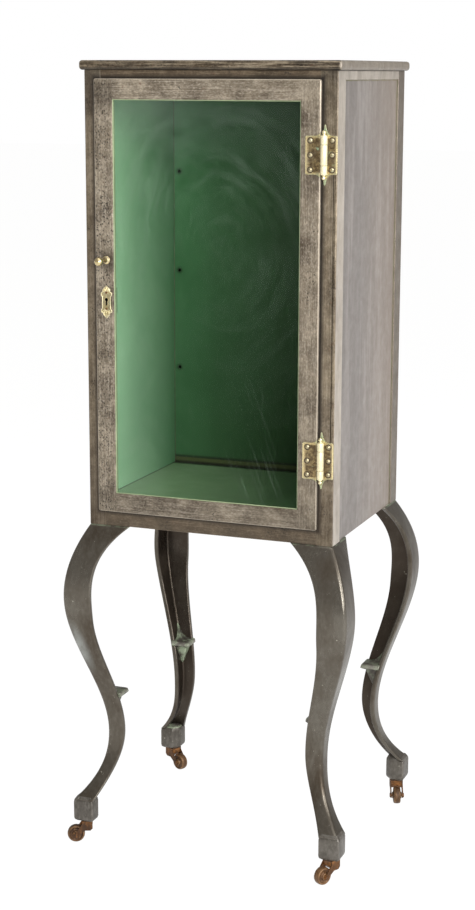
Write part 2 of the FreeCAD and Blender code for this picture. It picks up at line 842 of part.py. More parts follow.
def mirrored_to(shape, side, end):
    """Copy of a rear right shape carried to another corner."""
    if side < 0:
        shape = shape.mirror(Vec(0, 0, 0), Vec(1, 0, 0))
    if end < 0:
        shape = shape.mirror(Vec(0, 0, 0), BACK)
    return shape


def make_legs():
    """Four cast legs and the bolts and nuts that hold them."""
    drops = [(leg_height - foot_height) * index / (leg_sections - 1) for index in range(leg_sections)]
    stalk = Part.makeLoft([leg_section(drop) for drop in drops], True)
    leg = joined([stalk, make_foot(), *make_ledge(), make_flange()])
    bolts = []
    nuts = []
    for (end_name, side_name), side, end in corners_of_body():
        save(end_name + "_" + side_name + "_leg", mirrored_to(leg, side, end))
        for x, y in leg_bolt_places(side, end):
            head_top = Vec(x, y, body_bottom - flange_thick)
            nut_bottom = Vec(x, y, body_bottom + base_sheet)
            tip = nut_bottom + UP * (leg_nut_height + leg_bolt_spare)
            head = prism(flat_hexagon(x, y, head_top.z - leg_bolt_head), UP * leg_bolt_head)
            bolts.append(joined([head, rod(leg_bolt_radius, head_top, tip)]))
            nut = prism(flat_hexagon(x, y, nut_bottom.z), UP * leg_nut_height)
            nuts.append(nut.cut(rod(leg_bolt_radius + seat_clear, head_top, tip)))
    save("leg_bolts", bolts)
    save("leg_nuts", nuts)


def flat_hexagon(x, y, z):
    """Corner points of a six-sided head lying flat."""
    angles = [math.pi / 3 * index for index in range(6)]
    radius = leg_bolt_head_radius
    return [Vec(x + radius * math.cos(a), y + radius * math.sin(a), z) for a in angles]


def make_socket():
    """Flanged sleeve in the foot that takes a caster's stem, at the origin of its foot."""
    bore_radius = stem_radius + running_clear
    foot = Vec(0, 0, caster_height)
    sleeve = rod(bore_radius + socket_wall, foot, foot + UP * socket_depth)
    flange = rod(socket_flange_radius, foot - UP * socket_flange, foot)
    bore = rod(bore_radius, foot - UP * cut_overrun, foot + UP * (stem_length + running_clear))
    return joined([sleeve, flange]).cut(bore)


def make_yoke():
    """Caster yoke trailing along +X from its stem: top plate, two cheeks, an apron and the stem."""
    half_inside = yoke_inside / 2
    half_outside = half_inside + yoke_plate
    lip = yoke_top - yoke_lip_drop
    boss = yoke_boss_radius
    cheek_plan = (
        (-yoke_front, yoke_top),
        (-yoke_front, lip + yoke_lip_round),
        (-yoke_front + yoke_lip_round, lip),
        (yoke_front - yoke_lip_round, lip),
        (caster_trail - boss, axle_z),
        (caster_trail, axle_z - boss),
        (caster_trail + boss, axle_z),
        (caster_trail, axle_z + boss),
        (yoke_rear, yoke_top - yoke_apron_drop),
        (yoke_rear, yoke_top),
    )
    parts = []
    for side in (-1, 1):
        inner_y = side * half_inside
        cheek = prism([Vec(u, inner_y, z) for u, z in cheek_plan], BACK * (side * yoke_plate))
        centre = Vec(caster_trail, inner_y, axle_z)
        parts.append(cheek)
        parts.append(rod(boss, centre, centre + BACK * (side * yoke_plate)))
    plate_ys = (-half_outside, half_outside)
    parts.append(block((-yoke_front, yoke_rear), plate_ys, (yoke_top - yoke_top_plate, yoke_top)))
    apron_xs = (yoke_rear - yoke_plate, yoke_rear)
    parts.append(block(apron_xs, plate_ys, (yoke_top - yoke_apron_drop, yoke_top)))
    stem_foot = Vec(0, 0, yoke_top - yoke_top_plate)
    parts.append(rod(stem_radius, stem_foot, Vec(0, 0, caster_height + stem_length)))
    axle_hole = rod(axle_radius + seat_clear, Vec(caster_trail, -yoke_inside, axle_z),
                    Vec(caster_trail, yoke_inside, axle_z))
    return joined(parts).cut(axle_hole)


def make_axle():
    """Riveted caster axle with a head on each end."""
    half = yoke_inside / 2 + yoke_plate
    left = Vec(caster_trail, -half, axle_z)
    right = Vec(caster_trail, half, axle_z)
    pieces = [rod(axle_radius, left, right)]
    pieces.append(rod(axle_head_radius, left, left - BACK * axle_head))
    pieces.append(rod(axle_head_radius, right, right + BACK * axle_head))
    return joined(pieces)


def make_wheel():
    """Iron wheel with a crowned tread, dished sides and a long hub, turned about its axle."""
    bore = axle_radius + running_clear
    rim_inner = wheel_radius - wheel_rim
    side_y = wheel_tread_width / 2
    web_y = side_y - wheel_dish
    hub_y = wheel_hub_width / 2
    crown_y = wheel_crown_width / 2
    half_profile = (
        (bore, hub_y),
        (wheel_hub_radius, hub_y),
        (wheel_hub_radius, web_y),
        (rim_inner, web_y),
        (rim_inner, side_y),
        (wheel_radius - wheel_crown_drop, side_y),
        (wheel_radius, crown_y),
    )
    outline = list(half_profile) + [(r, -y) for r, y in reversed(half_profile)]
    points = [Vec(caster_trail + r, y, axle_z) for r, y in outline]
    face = Part.Face(Part.makePolygon(points + [points[0]]))
    return face.revolve(Vec(caster_trail, 0, axle_z), BACK, 360)


def make_casters():
    """Four casters, each turned to its own heading under its foot."""
    sockets = []
    pieces = {"yoke": make_yoke(), "axle": make_axle(), "wheel": make_wheel()}
    for (end_name, side_name), side, end in corners_of_body():
        place = Vec(side * (half_width + caster_offset), end * (half_depth + caster_offset), 0)
        heading = caster_headings[(end_name, side_name)]
        for piece_name, piece in pieces.items():
            placed = piece.copy()
            placed.rotate(Vec(0, 0, 0), UP, heading)
            placed.translate(place)
            save(end_name + "_" + side_name + "_caster_" + piece_name, placed)
        socket = make_socket()
        socket.translate(place)
        sockets.append(socket)
    save("caster_sockets", sockets)


def main():
    """Build every node of the cabinet."""
    os.makedirs("parts", exist_ok=True)
    save("top_board", make_top_board())
    for end_name, end in FRONT_REAR.items():
        for side_name, side in LEFT_RIGHT.items():
            save(end_name + "_" + side_name + "_post", make_post(side, end))
    make_front_rails()
    make_rear_rail()
    make_sides()
    make_back_and_floors()
    make_door_frame()
    make_glazing()
    make_lock()
    make_knob()
    make_hinges()
    make_legs()
    make_casters()


main()
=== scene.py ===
"""Looks of the glazed instrument cabinet, in the frame of its CAD model."""
import logging
import math
from dataclasses import dataclass
from enum import Enum
from typing import Optional, Sequence

import bpy
import numpy as np
from mathutils import Matrix, Vector


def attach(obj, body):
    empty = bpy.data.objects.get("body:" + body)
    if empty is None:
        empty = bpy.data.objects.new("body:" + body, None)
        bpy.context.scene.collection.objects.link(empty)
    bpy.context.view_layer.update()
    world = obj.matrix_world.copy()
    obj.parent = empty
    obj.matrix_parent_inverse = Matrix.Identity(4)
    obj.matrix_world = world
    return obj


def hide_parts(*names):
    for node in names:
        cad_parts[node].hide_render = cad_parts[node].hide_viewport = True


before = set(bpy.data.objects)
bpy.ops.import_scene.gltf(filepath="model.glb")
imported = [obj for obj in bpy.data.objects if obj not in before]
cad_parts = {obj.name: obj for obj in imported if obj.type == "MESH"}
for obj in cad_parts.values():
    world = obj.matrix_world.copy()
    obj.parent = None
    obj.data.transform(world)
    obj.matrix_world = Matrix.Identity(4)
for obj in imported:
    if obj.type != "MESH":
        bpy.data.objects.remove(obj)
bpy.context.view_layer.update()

log = logging.getLogger("cabinet")
MM = 0.001
Colour = tuple[float, float, float, float]
Triple = tuple[float, float, float]
Shade = tuple[str, float, float, float, float, str]
Socket = bpy.types.NodeSocket
Material = bpy.types.Material
Faces = list[list[int]]
Outline = list[tuple[float, float]]

# Places in millimetres that both shapes and finishes follow
DOOR_LEFT, DOOR_RIGHT, DOOR_BOTTOM, DOOR_TOP = -205.0, 197.5, 622.5, 1366.0
HINGE_LEVELS = {"upper": 1246.0, "lower": 742.5}
HOLE_COLUMNS = (-210.5, 210.5)
HOLE_LEVELS = (821.25, 1007.5, 1193.75)

# The door's middle and half size, and where its stiles start beside the middle, in metres for the finishes
DOOR_X, DOOR_Z = (DOOR_LEFT + DOOR_RIGHT) / 2 * MM, (DOOR_BOTTOM + DOOR_TOP) / 2 * MM
DOOR_HALF_X, DOOR_HALF_Z = (DOOR_RIGHT - DOOR_LEFT) / 2 * MM, (DOOR_TOP - DOOR_BOTTOM) / 2 * MM
STILE_START = 0.1672


class Body(str, Enum):
    """Bodies of the frame that pieces ride on."""

    CABINET = "cabinet"
    DOOR = "door"
    KNOB = "knob"


class Slot(str, Enum):
    """Material slots of the record, passed along with the new pieces."""

    PAINT = "interior_paint"
    DOOR = "door_steel"
    BEAD = "bead_paint"
    BRASS = "brass"
    HARDWARE = "hardware_steel"
    IRON = "cast_iron"
    CASTER = "caster_iron"
    WHEEL = "wheel_iron"


class Corner(Enum):
    """The four corners as signs along X and Y."""

    FRONT_LEFT = (-1, -1)
    FRONT_RIGHT = (1, -1)
    REAR_LEFT = (-1, 1)
    REAR_RIGHT = (1, 1)

    @property
    def label(self) -> str:
        """Name of the corner as the CAD nodes spell it, such as front_left."""
        return self.name.lower()


def srgb(code: str) -> Colour:
    """Linear colour from a six-digit display colour.

    Args:
        code: Red, green and blue as hexadecimal digits.

    Returns:
        Linear red, green, blue and an alpha of one.
    """
    parts = np.array([int(code[i : i + 2], 16) for i in (0, 2, 4)]) / 255
    linear = np.where(parts <= 0.04045, parts / 12.92, ((parts + 0.055) / 1.055) ** 2.4)
    return (*linear.tolist(), 1.0)


class Shader:
    """Builder of one procedural material on Object coordinates."""

    def __init__(self, name: str) -> None:
        """Start a material with an output and a Principled shader.

        Args:
            name: Name of the material.
        """
        self.material = bpy.data.materials.new(name)
        self.material.use_nodes = True
        self.tree = self.material.node_tree
        self.tree.nodes.clear()
        self.output = self.node("OutputMaterial")
        self.main = self.node("BsdfPrincipled")
        self.show(self.main)
        self.place = self.node("TexCoord").outputs["Object"]

    def fill(self, node: bpy.types.Node, inputs: dict[str | int, object]) -> bpy.types.Node:
        """Set or link inputs of a node.

        Args:
            node: Node to fill.
            inputs: Constants or other nodes' outputs, by the input's name or number.

        Returns:
            The same node.
        """
        for key, value in inputs.items():
            if isinstance(value, Socket):
                self.tree.links.new(value, node.inputs[key])
            else:
                node.inputs[key].default_value = value
        return node

    def node(self, kind: str, inputs: Optional[dict[str | int, object]] = None) -> bpy.types.Node:
        """Add a node of one kind, named without its prefix, and fill its inputs."""
        return self.fill(self.tree.nodes.new("ShaderNode" + kind), inputs or {})

    def show(self, surface: bpy.types.Node) -> None:
        """Make a shader node the surface of the material."""
        self.tree.links.new(surface.outputs[0], self.output.inputs[0])

    def stretched(self, stretch: Sequence[float]) -> Socket:
        """Object coordinates scaled along each axis."""
        return self.node("Mapping", {"Vector": self.place, "Scale": stretch}).outputs[0]

    def noise(self, scale: float, detail: float, rough: float, stretch: Sequence[float] = (1, 1, 1),
              warp: float = 0.0) -> Socket:
        """Fractal noise.

        Args:
            scale: Cells per metre.
            detail: Octaves.
            rough: Share each octave keeps of the last.
            stretch: Scale along each axis.
            warp: Distortion.

        Returns:
            Value between about zero and one.
        """
        inputs = {"Vector": self.stretched(stretch), "Scale": scale, "Detail": detail, "Roughness": rough,
                  "Distortion": warp}
        return self.node("TexNoise", inputs).outputs["Fac"]

    def cells(self, scale: float, stretch: Sequence[float]) -> Socket:
        """Distance to the nearest of points that are scattered at a scale per metre, in cell units."""
        inputs = {"Vector": self.stretched(stretch), "Scale": scale}
        return self.node("TexVoronoi", inputs).outputs["Distance"]

    def span(self, value: Socket, low: float, high: float, to_low: float = 0.0,
             to_high: float = 1.0) -> Socket:
        """Linear rescale with clamping.

        Args:
            value: Input value.
            low: Input that gives to_low.
            high: Input that gives to_high.
            to_low: First result.
            to_high: Last result.

        Returns:
            Rescaled value.
        """
        inputs = {"Value": value, "From Min": low, "From Max": high, "To Min": to_low, "To Max": to_high}
        return self.node("MapRange", inputs).outputs["Result"]

    def calc(self, operation: str, first: object, second: object = 0.0) -> Socket:
        """One arithmetic step.

        Args:
            operation: Blender's name of the operation.
            first: First value.
            second: Second value.

        Returns:
            Result.
        """
        step = self.node("Math")
        step.operation = operation
        return self.fill(step, {0: first, 1: second}).outputs[0]

    def product(self, *factors: object) -> Socket:
        """Product of two or more values.

        Args:
            factors: Values.

        Returns:
            Product.
        """
        result = factors[0]
        for factor in factors[1:]:
            result = self.calc("MULTIPLY", result, factor)
        return result

    def total(self, *parts: object) -> Socket:
        """Sum of two or more values.

        Args:
            parts: Values.

        Returns:
            Sum.
        """
        result = parts[0]
        for part in parts[1:]:
            result = self.calc("ADD", result, part)
        return result

    def mix(self, share: object, first: object, second: object) -> Socket:
        """Blend of two colours.

        Args:
            share: How much of the second colour.
            first: Colour at zero.
            second: Colour at one.

        Returns:
            Blended colour.
        """
        blend = self.node("Mix")
        blend.data_type = "RGBA"
        return self.fill(blend, {"Factor": share, 6: first, 7: second}).outputs[2]

    def tint(self, colour: object, share: object, code: str) -> Socket:
        """Colour with a share of a display colour laid over it."""
        return self.mix(share, colour, srgb(code))

    def axis(self, name: str) -> Socket:
        """Coordinate X, Y or Z of the shaded point, in metres."""
        return self.node("SeparateXYZ", {0: self.place}).outputs[name]

    def past(self, name: str, middle: float) -> Socket:
        """Coordinate measured from a place on its axis."""
        return self.calc("SUBTRACT", self.axis(name), middle)

    def beside(self, name: str, middle: float = 0.0) -> Socket:
        """Distance along one axis from a place on it."""
        return self.calc("ABSOLUTE", self.past(name, middle))

    def away(self, first: Socket, second: Socket) -> Socket:
        """Length of the hypotenuse over two distances."""
        return self.calc("SQRT", self.total(self.product(first, first), self.product(second, second)))

    def edges(self) -> Socket:
        """How convex the surface is, about one half on flat faces and more along worn edges."""
        return self.node("NewGeometry").outputs["Pointiness"]

    def bump(self, height: Socket, strength: float, distance: float) -> None:
        """Raise the surface by a height value, of which one unit is a distance in metres."""
        raised = self.node("Bump", {"Strength": strength, "Distance": distance, "Height": height})
        self.fill(self.main, {"Normal": raised.outputs[0]})

    def finish(self, colour: object, rough: object, metal: object) -> Material:
        """Set the base colour, roughness and metallic share, and return the material."""
        self.fill(self.main, {"Base Color": colour, "Roughness": rough, "Metallic": metal})
        return self.material


def shaded(s: Shader, colour: Socket, shades: Sequence[Shade]) -> Socket:
    """Colour changed step by step along the axes.

    Args:
        s: Shader to add to.
        colour: Colour to start from.
        shades: Axis, low place, high place, share at each of them, and colour laid over.

    Returns:
        Colour.
    """
    for axis, low, high, first, last, tone in shades:
        colour = s.tint(colour, s.span(s.axis(axis), low, high, first, last), tone)
    return colour


def clouds(s: Shader) -> Socket:
    """Broad clouds in old paint, zero in the darker ones and one between them."""
    return s.span(s.noise(7, 6, 0.6, warp=0.8), 0.3, 0.7)


def clouded(s: Shader, base: str, dark: str, light: str) -> Socket:
    """Cloudy paint colour.

    Args:
        s: Shader to add to.
        base: Main colour.
        dark: Colour of the darker clouds.
        light: Colour of faded patches.

    Returns:
        Colour.
    """
    colour = s.mix(clouds(s), srgb(dark), srgb(base))
    return s.tint(colour, s.span(s.noise(30, 6, 0.65), 0.5, 0.8, 0.0, 0.4), light)


@dataclass(frozen=True)
class Patina:
    """Bare old metal: broad stain, brushing along the piece, fine grain, black pits and rust spots.

    A flank is a place along X and the colour beyond it. Darkening runs between two heights to a share: sooty
    at the posts' tops, a painted shadow line under the lid, and lower parts darker on the rails, door and
    sides.
    Paint lies within a half width and a half depth. Each smudge has X, Z, a radius and a strength. A framed
    finish is the door's: its brushing turns with the stiles and rails, and its outer edge is worn and carries
    a painted highlight.
    """

    name: str
    base: str
    dark: str
    light: str
    rust: str = "5a3a22"
    pit: str = "1d1916"
    stain: float = 14.0
    stain_stretch: Triple = (1.0, 1.0, 1.0)
    level: bool = False
    squeeze: float = 0.03
    brush_scale: float = 650.0
    brush_share: float = 0.3
    brush_reach: float = 0.2
    grain: float = 0.3
    pits: float = 0.5
    rusting: float = 0.5
    rough: float = 0.42
    metal: float = 0.55
    relief: float = 0.3
    smear: float = 0.0
    flank: Optional[tuple[float, str]] = None
    soot_and_shade: Optional[Triple] = None
    paint_within: Optional[tuple[float, float]] = None
    paint: tuple[str, str, str] = ("69a878", "4c9160", "8fbf97")
    shades: tuple[Shade, ...] = ()
    framed: bool = False
    door_shadow_and_dirt: bool = False
    residue: bool = False
    smudges: tuple[tuple[float, float, float, float], ...] = ()
    smudge: str = "101a0c"
    blotch: float = 0.0
    blotch_stretch: Triple = (1.0, 1.0, 1.0)
    tones: tuple[Shade, ...] = ()

    def both_ways(self, s: Shader, colour: Socket, value: Socket, lighter: Triple, darker: Triple) -> Socket:
        """Colour lightened where a value is on one side of its middle and darkened on the other.

        Args:
            s: Shader to add to.
            colour: Colour to start from.
            value: Noise.
            lighter: Value where lightening starts, where it is full, and its full share.
            darker: The same for darkening.

        Returns:
            Colour.
        """
        colour = s.tint(colour, s.span(value, lighter[0], lighter[1], 0.0, lighter[2]), self.light)
        return s.tint(colour, s.span(value, darker[0], darker[1], 0.0, darker[2]), self.dark)

    def smudged(self, s: Shader, colour: Socket) -> Socket:
        """Colour darkened in round smudges.

        Args:
            s: Shader to add to.
            colour: Colour to darken.

        Returns:
            Colour.
        """
        for across, up, radius, share in self.smudges:
            away = s.away(s.past("X", across), s.past("Z", up))
            colour = s.tint(colour, s.span(away, radius * 0.35, radius, share, 0.0), self.smudge)
        return colour

    def along(self, s: Shader, scale: float, detail: float, squeeze: float) -> Socket:
        """Noise drawn out along the piece: on the door upright on the stiles and level on the rails.

        Args:
            s: Shader to add to.
            scale: Cells per metre across the lines.
            detail: Octaves.
            squeeze: Scale along the lines.

        Returns:
            Value between about zero and one.
        """
        level, upright = (squeeze, 1.0, 1.0), (1.0, 1.0, squeeze)
        if not self.framed:
            return s.noise(scale, detail, 0.6, level if self.level else upright)
        stile = s.calc("GREATER_THAN", s.beside("X", DOOR_X), STILE_START)
        on_stile = s.product(s.noise(scale, detail, 0.6, upright), stile)
        on_rail = s.product(s.noise(scale, detail, 0.6, level), s.calc("SUBTRACT", 1.0, stile))
        return s.total(on_stile, on_rail)

    def pitting(self, s: Shader) -> Socket:
        """Black pits in clusters, thickest on the door's left stile.

        Args:
            s: Shader to add to.

        Returns:
            Zero on clean metal, one in a pit.
        """
        dots = s.span(s.cells(260, (1.0, 1.0, 0.8)), 0.4, 0.24)
        specks = s.calc("MAXIMUM", dots, s.span(s.noise(560, 4, 0.7), 0.6, 0.67))
        where = s.span(s.noise(30, 4, 0.65), 0.62 - 0.12 * self.pits, 0.76 - 0.1 * self.pits)
        if self.framed:
            side = s.span(s.axis("X"), -0.165, -0.182)
            patchy = s.span(s.noise(34, 4, 0.65), 0.34, 0.58, 0.35, 1.0)
            where = s.calc("MAXIMUM", where, s.product(side, patchy))
        return s.product(specks, where)

    def streaked(self, s: Shader) -> Socket:
        """Colour of clean metal: stain, brushing, grain, blotches and wiped smears.

        Args:
            s: Shader to add to.

        Returns:
            Colour.
        """
        stain = s.span(s.noise(self.stain, 7, 0.66, self.stain_stretch, 0.5), 0.34, 0.62)
        colour = s.mix(stain, srgb(self.dark), srgb(self.base))
        lines = self.along(s, self.brush_scale, 3, self.squeeze)
        reach, share = self.brush_reach, self.brush_share
        colour = self.both_ways(s, colour, lines, (0.5, 0.5 + reach, share), (0.5, 0.5 - reach, share))
        grain = self.along(s, 480, 4, 0.5)
        colour = self.both_ways(s, colour, grain, (0.52, 0.68, self.grain), (0.48, 0.34, self.grain))
        if self.blotch:
            patch = s.noise(75, 6, 0.7, self.blotch_stretch, 0.3)
            colour = s.tint(colour, s.span(patch, 0.5, 0.66, 0.0, self.blotch), self.dark)
            colour = s.tint(colour, s.span(patch, 0.46, 0.34, 0.0, 0.4 * self.blotch), self.light)
        if self.smear:
            wiped = s.span(s.noise(16, 6, 0.7, (1.0, 1.0, 0.3), 1.0), 0.56, 0.74, 0.0, self.smear)
            colour = s.tint(colour, wiped, self.light)
        return colour

    def dirtied_and_shaded(self, s: Shader, colour: Socket) -> Socket:
        """Colour with a grimy band of painted shadow round the door, and darkening between two heights.

        Args:
            s: Shader to add to.
            colour: Colour to start from.

        Returns:
            Colour.
        """
        # Painted shadow, partly grimy: the front faces darken round the door, as the shade of its gap.
        if self.door_shadow_and_dirt:
            out = s.calc("SUBTRACT", s.beside("X", DOOR_X), DOOR_HALF_X)
            over = s.calc("SUBTRACT", s.beside("Z", DOOR_Z), DOOR_HALF_Z)
            dirt_and_shade = s.span(s.calc("MAXIMUM", out, over), 0.0022, 0.009, 0.94, 0.0)
            front = s.calc("LESS_THAN", s.axis("Y"), -0.186)
            colour = s.tint(colour, s.product(dirt_and_shade, front), "17110c")
        if self.soot_and_shade:
            low, high, share = self.soot_and_shade
            cloud = s.span(s.noise(22, 5, 0.65), 0.3, 0.65, 0.4, 1.0)
            colour = s.tint(colour, s.product(s.span(s.axis("Z"), low, high, 0.0, share), cloud), self.pit)
        return colour

    def rubbed_and_highlit(self, s: Shader, colour: Socket) -> Socket:
        """Colour with light edges: worn by curvature, or worn with a painted highlight on the door's outer
        edge.

        Args:
            s: Shader to add to.
            colour: Colour to start from.

        Returns:
            Colour.
        """
        if not self.framed:
            return s.tint(colour, s.span(s.edges(), 0.52, 0.6, 0.0, 0.6), self.light)
        colour = s.tint(colour, s.span(s.axis("X"), -0.12, 0.19, 0.0, 0.24), self.dark)
        # Wear and a painted highlight: a light line along the door's rounded outer edge.
        upright = s.span(s.beside("X", DOOR_X), 0.1994, 0.2004, 0.0, 0.45)
        level = s.span(s.beside("Z", DOOR_Z), 0.3699, 0.3709, 0.0, 0.55)
        return s.tint(colour, s.calc("MAXIMUM", upright, level), self.light)

    def trimmed(self, s: Shader, colour: Socket) -> Socket:
        """Colour with paint left in the side sheet's seam, tones along the axes, smudges and flanks.

        Args:
            s: Shader to add to.
            colour: Colour to start from.

        Returns:
            Colour.
        """
        if self.residue:
            upright, level = s.span(s.beside("Y"), 0.1492, 0.1506), s.span(s.axis("Z"), 1.3624, 1.3638)
            seam = s.calc("MAXIMUM", upright, level)
            sheet = s.calc("LESS_THAN", s.beside("X"), 0.2226)
            patchy = s.span(s.noise(40, 6, 0.65), 0.4, 0.56, 0.4, 0.95)
            colour = s.tint(colour, s.product(seam, sheet, patchy), "86805c")
        colour = shaded(s, colour, self.tones)
        if not self.paint_within:
            colour = self.smudged(s, colour)
        if self.flank:
            start, tone = self.flank
            patchy = s.span(s.noise(60, 6, 0.68, (1.0, 1.0, 0.3)), 0.34, 0.6, 0.86, 0.52)
            colour = s.tint(colour, s.product(s.calc("GREATER_THAN", s.beside("X"), start), patchy), tone)
        return colour

    def make(self) -> Material:
        """Build the material.

        Returns:
            Material with stain, brushing, pits and rust, and paint on the faces inside the given plan.
        """
        s = Shader(self.name)
        spots = s.span(s.noise(95, 5, 0.6, warp=0.4), 0.68 - 0.06 * self.rusting, 0.75)
        pits = self.pitting(s)
        colour = s.tint(self.streaked(s), s.product(spots, 0.75), self.rust)
        colour = self.dirtied_and_shaded(s, s.tint(colour, s.product(pits, 0.85), self.pit))
        colour = self.trimmed(s, self.rubbed_and_highlit(s, colour))
        rough = s.span(s.noise(45, 5, 0.6), 0.3, 0.7, self.rough - 0.1, self.rough + 0.14)
        metal = s.calc("SUBTRACT", self.metal, s.product(spots, self.metal * 0.8))
        height = s.calc("SUBTRACT", s.product(s.noise(520, 4, 0.6), 0.3), pits)
        if self.paint_within:
            wide, deep = self.paint_within
            between = s.calc("LESS_THAN", s.beside("X"), wide)
            inside = s.product(between, s.calc("LESS_THAN", s.beside("Y"), deep))
            bare = s.calc("SUBTRACT", 1.0, inside)
            paint = shaded(s, clouded(s, *self.paint), self.shades)
            colour = s.mix(inside, colour, self.smudged(s, paint))
            metal, height = s.product(metal, bare), s.product(height, bare)
            rough = s.calc("MAXIMUM", rough, s.product(inside, 0.6))
        s.bump(height, self.relief, 0.0004)
        return s.finish(colour, rough, metal)


@dataclass(frozen=True)
class OldPaint:
    """Aged paint: cloudy colour, hairline scratches and stains."""

    name: str
    base: str
    dark: str
    light: str
    rough: float = 0.4
    shades: tuple[Shade, ...] = ()

    def make(self) -> Material:
        """Build the material.

        Returns:
            Material with cloudy paint and scratches.
        """
        s = Shader(self.name)
        scratch = s.span(s.noise(240, 2, 0.5, (1.0, 1.0, 0.03)), 0.66, 0.74, 0.0, 0.35)
        colour = s.tint(clouded(s, self.base, self.dark, self.light), scratch, self.light)
        s.bump(s.noise(160, 4, 0.6), 0.1, 0.0003)
        rough = s.span(clouds(s), 0, 1, self.rough, self.rough + 0.15)
        return s.finish(shaded(s, colour, self.shades), rough, 0.0)


@dataclass(frozen=True)
class Brass:
    """Handled brass: gold on worn edges, brown tarnish in the flats, a little verdigris."""

    name: str
    gold: str
    tarnish: str
    green: str = "8fa685"
    greening: float = 0.3
    tarnishing: float = 0.5
    relief: float = 0.12
    rough: float = 0.22
    metal: float = 0.9
    cloud: float = 70.0
    hinged: bool = False

    def leafed(self, s: Shader, colour: Socket, green: Socket) -> tuple[Socket, Socket]:
        """Colour of a hinge leaf: a brown middle, cream rims and verdigris towards the tips.

        Args:
            s: Shader to add to.
            colour: Colour to start from.
            green: Where verdigris shows already.

        Returns:
            Colour, and where verdigris shows.
        """
        across = s.axis("X")
        upper, lower = (s.beside("Z", level * MM) for level in HINGE_LEVELS.values())
        away = s.calc("MINIMUM", upper, lower)
        inner = s.calc("MINIMUM", s.span(across, 0.1755, 0.1795), s.span(across, 0.2226, 0.2196))
        patchy = s.span(s.noise(190, 5, 0.65), 0.36, 0.6, 0.45, 0.95)
        colour = s.tint(colour, s.product(inner, s.span(away, 0.0285, 0.0265), patchy), self.tarnish)
        rim = s.calc("MAXIMUM", s.span(across, 0.1752, 0.1736), s.span(across, 0.2222, 0.2236))
        handled = s.span(s.noise(120, 4, 0.6), 0.36, 0.56, 0.45, 0.95)
        colour = s.tint(colour, s.product(rim, handled), "ecdca6")
        tip = s.product(s.span(away, 0.027, 0.036), s.span(s.noise(150, 5, 0.6), 0.35, 0.6, 0.2, 0.8))
        return colour, s.calc("MAXIMUM", green, tip)

    def make(self) -> Material:
        """Build the material.

        Returns:
            Metal with tarnish clouds and worn rims.
        """
        s = Shader(self.name)
        start, end = 0.56 - 0.2 * self.tarnishing, 0.72 - 0.1 * self.tarnishing
        cloud = s.span(s.noise(self.cloud, 6, 0.65, warp=0.5), start, end)
        colour = s.mix(s.product(cloud, 0.9), srgb(self.gold), srgb(self.tarnish))
        colour = s.tint(colour, s.product(s.span(s.edges(), 0.505, 0.56), 0.85), "efe6c4")
        green = s.span(s.noise(55, 5, 0.6), 0.64 - 0.1 * self.greening, 0.72, 0.0, 0.8)
        if self.hinged:
            colour, green = self.leafed(s, colour, green)
        s.bump(s.noise(420, 4, 0.6), self.relief, 0.0003)
        rough = s.span(cloud, 0, 1, self.rough, self.rough + 0.23)
        metal = s.span(green, 0, 1, self.metal, self.metal / 3)
        return s.finish(s.tint(colour, green, self.green), rough, metal)


